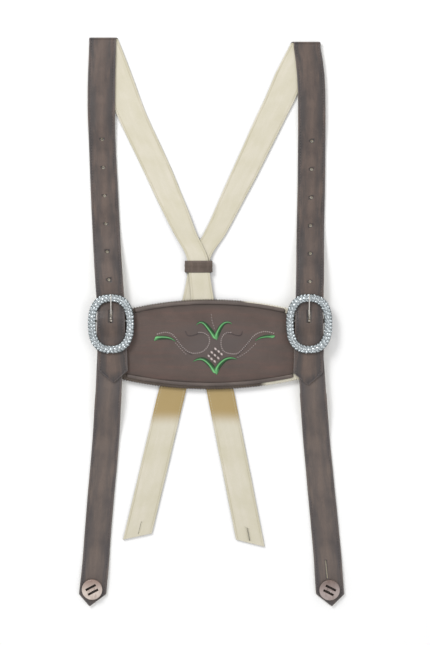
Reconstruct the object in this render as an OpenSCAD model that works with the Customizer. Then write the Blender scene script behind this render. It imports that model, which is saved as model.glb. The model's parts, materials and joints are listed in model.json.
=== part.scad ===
// Traditional leather H-suspenders with an embroidered chest plate, laid flat and face up.
// X runs across the wearer, Y runs up towards the shoulders and Z is up from the surface it lies on.
// The origin is under the middle of the outline, on that surface.

/* [Straps] */
// Width of the shoulder straps
strap_w = 35; // [33:0.5:36]
// Thickness of the brown grain leather
outer_t = 1.3; // [1.0:0.1:1.3]
// Thickness of the cream lining leather
lining_t = 1.1; // [0.8:0.1:1.1]
// Height of the line that the left strap folds over at the shoulder, along Y
fold_left_y = 359.45; // [354:0.05:362]
// Height of the line that the right strap folds over
fold_right_y = 354.05; // [350:0.05:358]
// Length of the pointed end of a shoulder strap
point_l = 15; // [10:1:20]
// Length of the pointed end of a strap that carries a button
tail_point_l = 15; // [10:1:17]

/* [Adjusting holes] */
// Diameter of an adjusting hole
hole_d = 2.5; // [2:0.1:3.5]
// Distance between adjusting holes
hole_pitch = 35.8; // [34:0.1:36]
// Number of free adjusting holes in each strap
hole_count = 6; // [3:1:6]

/* [Buckles] */
// Width of the buckle over its wreath
buckle_w = 58.3; // [56:0.1:60]
// Height of the buckle over its wreath
buckle_h = 74.8; // [72:0.1:76]
// Width of the wreath at the sides
rim_side_w = 9.8; // [8.5:0.1:9.8]
// Width of the wreath at top and bottom
rim_end_w = 9.9; // [8:0.1:10]
// Thickness of the wreath
rim_t = 3.3; // [2.5:0.1:3.6]
// Diameter of the centre bar
bar_d = 3; // [2.6:0.1:3]
// Diameter of the prong
prong_d = 2.2; // [1.8:0.1:2.4]

/* [Chest plate] */
// Height of the plate at its middle, with its pinked edge
plate_h = 116; // [112:1:118]
// Thickness of the pinked backing
backing_t = 1.5; // [1:0.1:1.5]
// Thickness of the embroidered leather
plate_t = 1.7; // [1.2:0.1:1.7]
// Width of the rolled piping
piping_w = 5.2; // [4:0.1:5.6]
// Distance between the points of the pinked edge
tooth_pitch = 3.4; // [2:0.1:4]
// Depth of the pinked edge
tooth_depth = 1.9; // [0.8:0.1:2]

/* [Keeper] */
// Length of the keeper along the straps
keeper_l = 15; // [10:0.5:16]
// Thickness of the keeper leather
keeper_t = 1.2; // [0.8:0.1:1.2]

/* [Buttons] */
// Diameter of a horn button
button_d = 26; // [22:0.5:28]
// Thickness of a horn button
button_t = 4; // [3:0.1:5]
// Length of a buttonhole
buttonhole_l = 16; // [12:1:24]

/* [Hidden] */

eps = 0.01;
gap = 0.3;                       // clearance between pieces that move on each other
strap_t = outer_t + lining_t;
far = 400;                       // longer than any cut that it makes

// Shoulder fold: the strap turns round a line just above the lower layer
fold_gap = 0.5;
fold_r = strap_t + fold_gap / 2;
fold_z = fold_r;
fold_clear = 0.7;                // the two folds turn about one line, which leans a little
fold_y = [fold_left_y, fold_right_y];

// Heights of the stack, from the surface up
plate_z = 5.4;
plate_top = plate_z + backing_t + plate_t;
tab_z = plate_top;
tab_top = tab_z + strap_t;
flap_z = tab_top + gap;
loop_r = 3.2;
bar_z = tab_z + loop_r + 0.1;
bar_fit = 0.1;
rim_z = flap_z + strap_t + 1.7;  // the wreath stays clear of the strap as the buckle rocks
over_bar_z = bar_z + loop_r + 0.4;

// Bends of the free ends, just below the chest plate
front_bend_y = -92;
back_bend_y = -93;

// Buckles: centre of each wreath, and its centre bar
buckle_x = [-127.5, 123.4];
buckle_y = -2.7;
bar_y = 0.9;
tab_w = 33;
knuckle_w = 5;
bar_half = 24;

// Courses: [Y, X of the middle, width across X] from the top down
back_left_xw = [[fold_left_y, -137.3, 36], [318, -121.5, 37], [265, -102.5, 38], [200, -72.2, 37],
                [142, -46.6, 33], [112, -33.5, 29], [84, -19.4, 27], [56, -15, 27], [28, -11.4, 29],
                [-20, -3.5, 33], [-60, 5, 34], [-120, 17.4, 34]];
back_right_xw = [[fold_right_y, 118.6, 36], [318, 101, 38], [287, 88.6, 39], [251, 71, 38], [214, 53.6, 36],
                 [176, 35.4, 34], [137, 16.6, 30], [112, 4, 28.5], [84, -14, 27], [56, -18, 27],
                 [28, -23, 29], [-20, -33.5, 33], [-60, -43.5, 34], [-120, -58, 34]];
front_left_xw = [[fold_left_y, -138.9, 34], [285, -140.6, strap_w], [230, -139.6, 34], [148, -136, strap_w],
                 [98, -133.4, strap_w], [42, -129.4, 35.4], [20, -127.8, 34.8], [10, -127.5, 34.8],
                 [-14, -127.5, 36], [-24, -127.3, 37.2], [-38, -126.2, 37.6], [-62, -125, 37.2],
                 [-77, -124.5, 37.2]];
front_right_xw = [[fold_right_y, 120.8, 34], [318, 125.9, strap_w], [280, 127.4, strap_w],
                  [176, 127, strap_w], [124, 125.9, strap_w], [42, 124.4, 35.4], [20, 123.8, 34.8],
                  [10, 123.4, 34.8], [-14, 123.4, 36], [-24, 123.4, 37.2], [-38, 123.4, 37.6],
                  [-64, 122.2, 37.2], [-80, 122, 37.2]];
tail_left_xw = [[front_bend_y, -131, 33.5], [-158, -135.7, 34], [-208, -140, 34], [-266, -145, 33.6],
                [-317, -148.8, 34.2], [-345, -151.4, 34.7], [-362, -155.4, 34.7]];
tail_right_xw = [[front_bend_y, 128.9, 34], [-138, 132.4, 34], [-196, 137.9, 34.5], [-245, 142.7, 35],
                 [-298, 147.4, 35.4], [-345, 150.8, 36], [-362, 153, 36]];

// Heights of the underside: [Y, Z] from the top down, eased from each to the next
keeper_in_z = keeper_t + 0.2;
over_z = keeper_in_z + strap_t + gap;
under_heights = [[fold_right_y, 0], [110, 0], [82, keeper_in_z], [58, keeper_in_z], [30, 0], [-120, 0]];
over_heights = [[fold_left_y, 0], [170, 0], [122, strap_t + gap], [110, strap_t + gap], [82, over_z],
                [58, over_z], [30, strap_t + gap], [-34, strap_t + gap], [-84, 0], [-120, 0]];
front_heights = [[fold_left_y, fold_z + fold_gap / 2], [262, fold_z + fold_gap / 2], [210, gap], [130, gap],
                 [44, flap_z], [22, flap_z], [14, flap_z + 0.7], [4, over_bar_z], [-2, over_bar_z],
                 [-21, flap_z], [-80, flap_z]];
button_lift = 1.2;
tail_heights = [[front_bend_y, tab_z], [-160, 0], [-290, 0], [-322, button_lift], [-362, button_lift]];

// Buttons: centres, and the turn of their slots
button_xy = [[-152.2, -340.7], [150, -341.4]];
button_turn = [28, -27];
button_z = button_lift + strap_t + 1.5;
shank_r = 2.5;
shank_fit = 0.1;

// ---------- Courses and ribbons ----------

function mix(a, b, u) = a + (b - a) * u;
function clamp(u) = max(0, min(1, u));
function ease(u) = u * u * (3 - 2 * u);

// Stretch of table t, sorted from the top down, that holds height y
function stretch(t, y, i = 0) = i >= len(t) - 2 || y >= t[i + 1][0] ? i : stretch(t, y, i + 1);

// Value of column c of table t at y, eased from row to row
function eased(t, y, c = 1) =
    let (i = stretch(t, y), u = clamp((t[i][0] - y) / (t[i][0] - t[i + 1][0])))
    mix(t[i][c], t[i + 1][c], ease(u));

// Slope of column c at row i
function slope(t, i, c) =
    let (a = max(0, i - 1), b = min(len(t) - 1, i + 1))
    (t[b][c] - t[a][c]) / (t[b][0] - t[a][0]);

// Value of column c of table t at y, on one smooth curve through the rows
function curved(t, y, c = 1) =
    let (i = stretch(t, y), h = t[i + 1][0] - t[i][0], u = (y - t[i][0]) / h,
         u2 = u * u, u3 = u2 * u)
    (2 * u3 - 3 * u2 + 1) * t[i][c] + (u3 - 2 * u2 + u) * h * slope(t, i, c)
    + (3 * u2 - 2 * u3) * t[i + 1][c] + (u3 - u2) * h * slope(t, i + 1, c);

// Share of the full width at distance d from an end that is square or comes to a point
function end_share(kind, d, l) =
    kind == "point" ? max(0.04, min(1, d / l)) : 1;

// Heights of the cross-sections: wide steps along plain stretches, fine ones where the strap bends
function rows(y0, y1, step) =
    let (n = ceil((y0 - y1) / step)) [for (i = [0 : n]) mix(y0, y1, i / n)];

// A strap layer of thickness t, whose underside is lift above the heights in hz
module ribbon(xw, hz, ys, lift, t, kind = "square", end_l = 1) {
    n = len(ys);
    y_end = ys[n - 1];
    rings = [for (y = ys)
        let (x = curved(xw, y, 1), z = eased(hz, y) + lift,
             w = curved(xw, y, 2) * end_share(kind, y - y_end, end_l) / 2)
        each [[x - w, y, z], [x + w, y, z], [x + w, y, z + t], [x - w, y, z + t]]];
    sides = [for (i = [0 : n - 2], k = [0 : 3])
        let (a = 4 * i + k, b = 4 * i + (k + 1) % 4)
        each [[a, a + 4, b], [b, a + 4, b + 4]]];
    m = 4 * (n - 1);
    polyhedron(rings, concat(sides, [[0, 1, 2], [0, 2, 3], [m, m + 2, m + 1], [m, m + 3, m + 2]]));
}

// A round bar along X from x0 to x1
module x_bar(x0, x1, y, z, r) {
    translate([x0, y, z]) rotate([0, 90, 0]) cylinder(r = r, h = x1 - x0, $fn = 48);
}

// ---------- Back straps ----------

// Roll of leather round the fold line, from radius r0 to r1, open towards the lower layer
module fold_roll(x, y, w, r0, r1) {
    intersection() {
        difference() {
            x_bar(x - w / 2, x + w / 2, y, fold_z, r1);
            if (r0 > 0) x_bar(x - w, x + w, y, fold_z, r0);
        }
        union() {
            translate([x - w, y, -eps]) cube([2 * w, far, far]);
            translate([x - w, y - far, fold_z]) cube([2 * w, far + eps, far]);
        }
    }
}

back_rows_over = concat(rows(fold_left_y, 178, 20), rows(168, 20, 5), rows(10, -28, 8),
                        rows(-34, back_bend_y + strap_t / 2 + gap, 6));
back_rows_under = concat(rows(fold_right_y, 130, 19), rows(110, 28, 5),
                         rows(20, back_bend_y + strap_t / 2 + gap, 14));

module back_layer(xw, hz, ys, lift, t, r0, r1) {
    ribbon(xw, hz, ys, lift, t);
    fold_roll(xw[0][1], xw[0][0], xw[0][2], r0, r1);
}

module back_strap_left_outer() {
    color("#6b5a52") back_layer(back_left_xw, over_heights, back_rows_over, 0, outer_t,
                                fold_r - outer_t, fold_r);
}
module back_strap_left_lining() {
    color("#ddd8c8") back_layer(back_left_xw, over_heights, back_rows_over, outer_t, lining_t,
                                0, fold_r - outer_t);
}
module back_strap_right_outer() {
    color("#6b5a52") back_layer(back_right_xw, under_heights, back_rows_under, 0, outer_t,
                                fold_r - outer_t, fold_r);
}
module back_strap_right_lining() {
    color("#ddd8c8") back_layer(back_right_xw, under_heights, back_rows_under, outer_t, lining_t,
                                0, fold_r - outer_t);
}

// ---------- Keeper round the crossing ----------

keeper_x = -16.7;
keeper_y = 70;
keeper_in_w = 33.4;
keeper_top = over_z + strap_t + 0.2;

module keeper_outline(grow) {
    r = 1.5 + grow;
    w = keeper_in_w + 2 * grow;
    hull() for (x = [r - w / 2, w / 2 - r], z = [keeper_t - grow + r, keeper_top + grow - r])
        translate([x, z]) circle(r = r, $fn = 32);
}

module crossing_keeper() {
    color("#5f5048") translate([keeper_x, keeper_y + keeper_l / 2, 0]) rotate([90, 0, 0])
        linear_extrude(keeper_l) difference() {
            keeper_outline(keeper_t);
            keeper_outline(0);
        }
}

// ---------- Free ends of the back straps ----------

// [X of the bend, lean from -Y in degrees, length down the middle, extra length of the left edge]
back_tail_left = [curved(back_right_xw, back_bend_y), -13.4, 185.9, 7.8];
back_tail_right = [curved(back_left_xw, back_bend_y), 11.2, 193, -7.7];
tail_w = 34;
corner_r = 0.8;

// Outline: straight across at the bend, cut off at a slant at the free end
module back_tail_outline(tail) {
    difference() {
        translate([tail[0], back_bend_y]) intersection() {
            rotate(tail[1]) hull() {
                translate([-tail_w / 2, 0]) square([tail_w, 10]);
                for (s = [-1, 1]) translate([s * (tail_w / 2 - corner_r), corner_r - tail[2] + s * tail[3]])
                    circle(r = corner_r, $fn = 32);
            }
            translate([-far, -far]) square([2 * far, far]);
        }
        translate([tail[0], back_bend_y]) rotate(tail[1])
            translate([-0.5, 3 - tail[2]]) square([1, buttonhole_l]);
    }
}

module back_tail_layer(tail, z, t) {
    half = tail_w / cos(tail[1]) / 2;
    translate([0, 0, z]) linear_extrude(t) back_tail_outline(tail);
    intersection() {
        x_bar(tail[0] - half, tail[0] + half, back_bend_y, strap_t / 2, strap_t / 2);
        translate([-far, back_bend_y - 1, z]) cube([2 * far, 4, t]);
    }
}

module back_tail_left_outer() { color("#6b5a52") back_tail_layer(back_tail_left, 0, outer_t); }
module back_tail_left_lining() { color("#ddd8c8") back_tail_layer(back_tail_left, outer_t, lining_t); }
module back_tail_right_outer() { color("#6b5a52") back_tail_layer(back_tail_right, 0, outer_t); }
module back_tail_right_lining() { color("#ddd8c8") back_tail_layer(back_tail_right, outer_t, lining_t); }

// ---------- Front shoulder straps ----------

function front_rows(side, end_y) = concat(
    rows(fold_y[side] - fold_r - fold_clear, 276, 20), rows(262, 208, 9), rows(196, 142, 18),
    rows(130, 50, 8), rows(44, -30, 2.6), rows(-36, end_y + point_l, 8), [end_y]);
hole_first = [17.4, 15.2];       // start of the row of holes in each strap, left and right
tip_y = [-77, -80];              // ends of the two straps
prong_slot = [4, 20];            // width and length of the slot round the prong

module strap_holes(xw, side) {
    for (i = [1 : hole_count]) {
        y = hole_first[side] + i * hole_pitch;
        translate([curved(xw, y), y, -1]) cylinder(d = hole_d, h = 30, $fn = 32);
    }
    // The hole in use is drawn out into a slot, over the length that the prong swings through
    translate([buckle_x[side] - prong_slot[0] / 2, bar_y - 4, -1]) cube([prong_slot[0], prong_slot[1], 40]);
}

module front_layer(xw, side, lift, t) {
    difference() {
        ribbon(xw, front_heights, front_rows(side, tip_y[side]), lift, t, "point", point_l);
        strap_holes(xw, side);
    }
}

module front_strap_left_outer() {
    color("#70605a") front_layer(front_left_xw, 0, lining_t, outer_t);
}
module front_strap_left_lining() {
    color("#ddd8c8") front_layer(front_left_xw, 0, 0, lining_t);
}
module front_strap_right_outer() {
    color("#70605a") front_layer(front_right_xw, 1, lining_t, outer_t);
}
module front_strap_right_lining() {
    color("#ddd8c8") front_layer(front_right_xw, 1, 0, lining_t);
}

// ---------- Chest plate ----------

plate_x = -2.3;
plate_top_y = 29.2;
plate_top_r = 442;               // radius of the top edge
plate_bottom_r = 510;            // radius of the bottom edge
plate_ends = [-121, 117];
plate_bottom_y = plate_top_y - plate_h;
pink_bottom = 2.6;               // how far the pinked backing shows below the piping

// Lens between two arcs, drawn in by the given amounts from the top and bottom edges
module plate_lens(inset_top, inset_bottom) {
    intersection() {
        translate([plate_x, plate_top_y - plate_top_r]) circle(r = plate_top_r - inset_top, $fn = 720);
        translate([plate_x, plate_bottom_y + plate_bottom_r])
            circle(r = plate_bottom_r - inset_bottom, $fn = 720);
        translate([plate_ends[0], -far]) square([plate_ends[1] - plate_ends[0], 2 * far]);
    }
}

// Zigzag points along an arc of radius r about [x, y], from angle a0 to a1
function zigzag(x, y, r, a0, a1, depth) =
    let (n = 2 * round(abs(a1 - a0) * PI / 180 * r / tooth_pitch))
    [for (i = [0 : n]) let (a = mix(a0, a1, i / n), q = r - (i % 2) * depth)
        [x + q * cos(a), y + q * sin(a)]];

module chest_plate_backing() {
    half = asin((plate_ends[1] - plate_x) / plate_top_r);
    half_bottom = asin((plate_ends[1] - plate_x) / plate_bottom_r);
    color("#64534a") translate([0, 0, plate_z]) linear_extrude(backing_t) polygon(concat(
        zigzag(plate_x, plate_top_y - plate_top_r, plate_top_r, 90 + half, 90 - half, tooth_depth),
        zigzag(plate_x, plate_bottom_y + plate_bottom_r, plate_bottom_r,
               -90 + half_bottom, -90 - half_bottom, tooth_depth)));
}

piping_half = [97, 108];         // half lengths of the top and bottom rolls
piping_top_inset = tooth_depth + 0.3;
piping_bottom_inset = pink_bottom + tooth_depth;

module chest_plate_leather() {
    color("#74564e") translate([0, 0, plate_z + backing_t]) linear_extrude(plate_t)
        plate_lens(piping_top_inset + piping_w, piping_bottom_inset + piping_w);
}

// Half-round roll that follows an arc of radius r about [x, y], centred on angle a
module piping(x, y, r, a, half) {
    translate([x, y, plate_z + backing_t]) rotate([0, 0, a - half])
        rotate_extrude(angle = 2 * half, $fn = 360) translate([r - piping_w / 2, 0]) intersection() {
            circle(d = piping_w, $fn = 32);
            translate([-piping_w, 0]) square([2 * piping_w, piping_w]);
        }
}

module piping_top() {
    color("#5d4942") piping(plate_x, plate_top_y - plate_top_r, plate_top_r - piping_top_inset, 90,
                            asin(piping_half[0] / plate_top_r));
}
module piping_bottom() {
    color("#5d4942") piping(plate_x, plate_bottom_y + plate_bottom_r,
                            plate_bottom_r - piping_bottom_inset, -90,
                            asin(piping_half[1] / plate_bottom_r));
}

// ---------- Embroidery ----------

thread_t = 0.5;
emb_x = 4.3;                     // middle line of the embroidery

// A pointed leaf from p to q, w wide, as the overlap of two discs
module leaf(p, q, w) {
    d = q - p;
    l = norm(d);
    r = (l * l / 4 + w * w / 4) / w;
    translate((p + q) / 2) rotate(atan2(d[1], d[0])) intersection() {
        translate([0, r - w / 2]) circle(r = r, $fn = 96);
        translate([0, w / 2 - r]) circle(r = r, $fn = 96);
    }
}

module mirrored() {
    children();
    mirror([1, 0]) children();
}

module embroidery_leaves() {
    color("#4faf55") translate([emb_x, 0, plate_top]) linear_extrude(thread_t) mirrored() {
        leaf([-0.6, -21], [-7, -5.5], 4);
        leaf([-6, -6.5], [-23, -0.6], 4.4);
        leaf([-0.6, -66], [-5, -55], 4);
        leaf([-4, -56], [-27, -50.5], 4.6);
        leaf([-75, -20], [-50.5, -24.6], 5.6);
    }
}

// Scroll stitches: short bars that follow a list of points
scroll_outer = [[-50, -22], [-44, -32], [-36, -38], [-28, -40], [-18, -40]];
scroll_inner = [[-34, -16], [-29, -18.5], [-23, -15], [-16, -12.8], [-9, -17], [-5, -25], [-9, -34.5]];
stitch = [2.4, 0.9];

module stitched(points) {
    for (i = [0 : len(points) - 2]) {
        d = points[i + 1] - points[i];
        n = max(1, round(norm(d) / 3.2));
        for (k = [0 : n - 1])
            translate(points[i] + d * (k + 0.5) / n) rotate(atan2(d[1], d[0]) + 35)
                square(stitch, center = true);
    }
}

module embroidery_scrolls() {
    color("#d8cdb8") translate([emb_x, 0, plate_top]) linear_extrude(thread_t) {
        mirrored() {
            stitched(scroll_outer);
            stitched(scroll_inner);
        }
        for (i = [-1 : 1], j = [-1 : 1]) translate([6 * i, -42.4 + 6 * j]) rotate(45)
            square(3, center = true);
    }
}

// ---------- Tabs that hold the buckles ----------

module buckle_tab(x, x_low) {
    half = tab_w / 2;
    loop_half = half - 2;        // the loop is a little narrower than the tab
    shoulder_y = bar_y - 14;
    low_y = front_bend_y + strap_t / 2 + gap;
    difference() {
        union() {
            translate([0, 0, tab_z]) linear_extrude(strap_t) polygon([
                [x - loop_half, bar_y], [x + loop_half, bar_y], [x + half, shoulder_y],
                [x_low + half, low_y], [x_low - half, low_y], [x - half, shoulder_y]]);
            x_bar(x - loop_half, x + loop_half, bar_y, bar_z, loop_r);
        }
        x_bar(x - tab_w, x + tab_w, bar_y, bar_z, bar_d / 2 + bar_fit);
        translate([x - knuckle_w / 2 - gap, bar_y - loop_r - 0.6, tab_z - 1])
            cube([knuckle_w + 2 * gap, 2 * loop_r + 1.2, 4 * loop_r]);
    }
}

module buckle_tab_left() { color("#65554d") buckle_tab(buckle_x[0], tail_left_xw[0][1]); }
module buckle_tab_right() { color("#65554d") buckle_tab(buckle_x[1], tail_right_xw[0][1]); }

// ---------- Buckles ----------

rim_steps = 64;
// Squareness of the wreath's outline: 2 would be an ellipse
rim_power = 2.5;
function squircle(a, w, h) =
    [w / 2 * sign(cos(a)) * pow(abs(cos(a)), 2 / rim_power),
     h / 2 * sign(sin(a)) * pow(abs(sin(a)), 2 / rim_power)];

// Cross-section of the wreath: [share of the way out, share of the thickness]
rim_section = [[0, 0], [0.06, 0.6], [0.3, 0.97], [0.7, 1], [0.94, 0.6], [1, 0]];

module wreath() {
    m = len(rim_section);
    points = [for (i = [0 : rim_steps - 1])
        let (a = 360 * i / rim_steps, p = squircle(a, buckle_w - 2 * rim_side_w, buckle_h - 2 * rim_end_w),
             q = squircle(a, buckle_w, buckle_h))
        for (s = rim_section) [mix(p[0], q[0], s[0]), mix(p[1], q[1], s[0]), rim_t * s[1]]];
    faces = [for (i = [0 : rim_steps - 1], k = [0 : m - 1])
        let (j = (i + 1) % rim_steps, a = m * i + k, b = m * i + (k + 1) % m,
             c = m * j + k, d = m * j + (k + 1) % m)
        each [[a, c, b], [b, c, d]]];
    polyhedron(points, faces);
}

module buckle_frame(x) {
    lug_in = 20;
    lug_y = 6;
    lug_bottom = bar_z - bar_d / 2 - 1;
    difference() {
        union() {
            translate([x, buckle_y, rim_z]) wreath();
            for (s = [-1, 1])
                translate([x + s * (lug_in + bar_half) / 2, bar_y, (lug_bottom + rim_z + 1) / 2])
                    cube([bar_half - lug_in, lug_y, rim_z + 1 - lug_bottom], center = true);
        }
        x_bar(x - bar_half - 1, x + bar_half + 1, bar_y, bar_z, bar_d / 2);
        // Groove that the prong's tip lies in
        translate([x - prong_d / 2 - gap, 20, prong_rest_z - prong_d / 2 - gap])
            cube([prong_d + 2 * gap, 30, 10]);
    }
}

module buckle_bar(x) { x_bar(x - bar_half, x + bar_half, bar_y, bar_z, bar_d / 2); }

prong_rest_z = rim_z + rim_t - 0.6;
prong_path = [[bar_y, bar_z + bar_d / 2 + 0.1], [8, bar_z + 2.2], [21.5, prong_rest_z],
              [34.5, prong_rest_z]];

module prong(x) {
    difference() {
        union() {
            x_bar(x - knuckle_w / 2, x + knuckle_w / 2, bar_y, bar_z, bar_d / 2 + 1.4);
            for (i = [0 : 2]) hull() for (p = [prong_path[i], prong_path[i + 1]])
                translate([x, p[0], p[1]]) rotate([0, 90, 0]) sphere(d = prong_d, $fn = 16);
        }
        x_bar(x - knuckle_w, x + knuckle_w, bar_y, bar_z, bar_d / 2 + bar_fit);
    }
}

module buckle_frame_left() { color("#9aa5a8") buckle_frame(buckle_x[0]); }
module buckle_bar_left() { color("#8b9598") buckle_bar(buckle_x[0]); }
module prong_left() { color("#c4ced2") prong(buckle_x[0]); }
module buckle_frame_right() { color("#9aa5a8") buckle_frame(buckle_x[1]); }
module buckle_bar_right() { color("#8b9598") buckle_bar(buckle_x[1]); }
module prong_right() { color("#c4ced2") prong(buckle_x[1]); }

// ---------- Free ends of the front straps ----------

tail_end_y = -362.1;
tail_rows = concat(rows(front_bend_y, -160, 7), rows(-178, -286, 18), rows(-292, -322, 7),
                   [tail_end_y + tail_point_l, tail_end_y]);

// Slit above the right button: where it starts from the button, its lean and its length
slit_from = [-2.7, 14.5];
slit_lean = 6;
slit_l = 23;

module front_tail_layer(xw, at, lift, t, slit) {
    mid_z = tab_z + strap_t / 2;
    difference() {
        union() {
            ribbon(xw, tail_heights, tail_rows, lift, t, "point", tail_point_l);
            intersection() {
                x_bar(xw[0][1] - xw[0][2] / 2, xw[0][1] + xw[0][2] / 2, front_bend_y, mid_z, strap_t / 2);
                translate([-far, front_bend_y - 0.2, tab_z + lift]) cube([2 * far, 4, t]);
            }
        }
        translate([at[0], at[1], -1]) cylinder(r = shank_r + shank_fit, h = 20, $fn = 48);
        if (slit) translate([at[0] + slit_from[0], at[1] + slit_from[1], -1]) rotate([0, 0, slit_lean])
            translate([-0.5, 0, 0]) cube([1, slit_l, 20]);
    }
}

module front_tail_left_outer() {
    color("#6e5e56") front_tail_layer(tail_left_xw, button_xy[0], lining_t, outer_t, false);
}
module front_tail_left_lining() {
    color("#ddd8c8") front_tail_layer(tail_left_xw, button_xy[0], 0, lining_t, false);
}
module front_tail_right_outer() {
    color("#6e5e56") front_tail_layer(tail_right_xw, button_xy[1], lining_t, outer_t, true);
}
module front_tail_right_lining() {
    color("#ddd8c8") front_tail_layer(tail_right_xw, button_xy[1], 0, lining_t, true);
}

// ---------- Horn buttons ----------

slot_l = 14.5;
slot_w = 3;
slot_gap = 6.6;                  // distance between the middles of the two slots
button_edge_r = 1.4;
dish_r = 5;                      // round hollow in the middle of the face
dish_up = 2.6;
washer_r = 6;

module horn_button(i) {
    translate([button_xy[i][0], button_xy[i][1], button_z]) rotate([0, 0, button_turn[i]]) difference() {
        rotate_extrude($fn = 96) hull() {
            square([button_d / 2 - 2.5, 1]);
            translate([0, button_t - 1]) square([button_d / 2 - 5, 1]);
            translate([button_d / 2 - button_edge_r, button_t * 0.45]) circle(r = button_edge_r, $fn = 24);
        }
        translate([0, 0, button_t + dish_up]) sphere(r = dish_r, $fn = 64);
        for (s = [-1, 1]) translate([-slot_l / 2, s * slot_gap / 2 - slot_w / 2, -1])
            cube([slot_l, slot_w, button_t + 2]);
    }
}

// Thong: a shank through the strap, and a bar up through each slot of the button
module button_thong(i) {
    translate([button_xy[i][0], button_xy[i][1], 0]) rotate([0, 0, button_turn[i]]) {
        translate([0, 0, 0.1]) cylinder(r = shank_r, h = button_z - 1.1, $fn = 48);
        translate([-slot_l / 2 + 0.4, -slot_gap / 2 - slot_w / 2 + 0.1, button_z - 1.1])
            cube([slot_l - 0.8, slot_gap + slot_w - 0.2, 1]);
        for (s = [-1, 1])
            translate([-slot_l / 2 + 0.4, s * slot_gap / 2 - slot_w / 2 + 0.1, button_z - 0.2])
                cube([slot_l - 0.8, slot_w - 0.2, button_t]);
    }
}

module button_washer(i) {
    translate([button_xy[i][0], button_xy[i][1], 0.1]) difference() {
        cylinder(r = washer_r, h = button_lift - 0.4, $fn = 48);
        translate([0, 0, -1]) cylinder(r = shank_r, h = 4, $fn = 48);
    }
}

module horn_button_left() { color("#b9a48e") horn_button(0); }
module button_thong_left() { color("#5a463a") button_thong(0); }
module button_washer_left() { color("#5a463a") button_washer(0); }
module horn_button_right() { color("#b9a48e") horn_button(1); }
module button_thong_right() { color("#5a463a") button_thong(1); }
module button_washer_right() { color("#5a463a") button_washer(1); }

back_strap_left_outer();
back_strap_left_lining();
back_strap_right_outer();
back_strap_right_lining();
crossing_keeper();
back_tail_left_outer();
back_tail_left_lining();
back_tail_right_outer();
back_tail_right_lining();
front_strap_left_outer();
front_strap_left_lining();
front_strap_right_outer();
front_strap_right_lining();
chest_plate_leather();
chest_plate_backing();
piping_top();
piping_bottom();
embroidery_leaves();
embroidery_scrolls();
buckle_tab_left();
buckle_tab_right();
buckle_frame_left();
buckle_bar_left();
prong_left();
buckle_frame_right();
buckle_bar_right();
prong_right();
front_tail_left_outer();
front_tail_left_lining();
front_tail_right_outer();
front_tail_right_lining();
horn_button_left();
button_thong_left();
button_washer_left();
horn_button_right();
button_thong_right();
button_washer_right();
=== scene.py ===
# %% [markdown]
# # Leather suspenders with an embroidered chest plate
#
# The real object is a pair of brown leather suspenders with a cream lining. Two back straps
# cross in a keeper, fold over at the shoulders and come down the front through two silver
# buckles on a chest plate. Below the plate they run on to two horn buttons. Everything lies
# flat, one layer on another, so most pieces can be made as thin skins that are swept along
# the straps.
#
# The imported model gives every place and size. The first cell loads it and keeps its box.

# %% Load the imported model
import json
import bpy
import numpy as np
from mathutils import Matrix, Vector


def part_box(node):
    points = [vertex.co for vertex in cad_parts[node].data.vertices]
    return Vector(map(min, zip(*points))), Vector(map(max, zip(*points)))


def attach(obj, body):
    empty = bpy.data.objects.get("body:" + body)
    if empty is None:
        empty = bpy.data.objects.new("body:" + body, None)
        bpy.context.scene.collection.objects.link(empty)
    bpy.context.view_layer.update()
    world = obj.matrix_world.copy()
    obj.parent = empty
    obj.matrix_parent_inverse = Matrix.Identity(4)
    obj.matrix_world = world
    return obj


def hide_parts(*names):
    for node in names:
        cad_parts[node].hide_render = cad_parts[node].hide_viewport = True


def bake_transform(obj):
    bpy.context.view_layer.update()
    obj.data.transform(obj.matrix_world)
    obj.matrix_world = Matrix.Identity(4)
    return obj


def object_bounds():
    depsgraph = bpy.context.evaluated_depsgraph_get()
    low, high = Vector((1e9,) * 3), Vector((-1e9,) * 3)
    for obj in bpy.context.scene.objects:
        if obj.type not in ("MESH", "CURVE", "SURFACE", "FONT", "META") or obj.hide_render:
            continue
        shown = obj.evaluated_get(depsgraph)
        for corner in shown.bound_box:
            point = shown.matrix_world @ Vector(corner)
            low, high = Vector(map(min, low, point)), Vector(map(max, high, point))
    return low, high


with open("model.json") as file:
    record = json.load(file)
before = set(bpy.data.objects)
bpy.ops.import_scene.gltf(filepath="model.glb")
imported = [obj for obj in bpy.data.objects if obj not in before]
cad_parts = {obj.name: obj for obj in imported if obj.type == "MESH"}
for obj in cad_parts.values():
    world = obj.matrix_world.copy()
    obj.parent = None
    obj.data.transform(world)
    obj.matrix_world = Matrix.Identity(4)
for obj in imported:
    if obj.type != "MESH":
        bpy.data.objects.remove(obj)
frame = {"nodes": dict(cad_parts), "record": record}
cad_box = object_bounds()
chance = np.random.default_rng(7)

# %% [markdown]
# ## Reading a strap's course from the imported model
#
# A strap could be measured by its box alone, but it leans and narrows on its way down. So each
# one is cut across at many places, and the cut's ends are kept. The new leather then follows
# the same course, and stays in the space that its plain solid holds.
# Lengths from here on are in millimetres, and turn to metres when a mesh is made.

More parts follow.
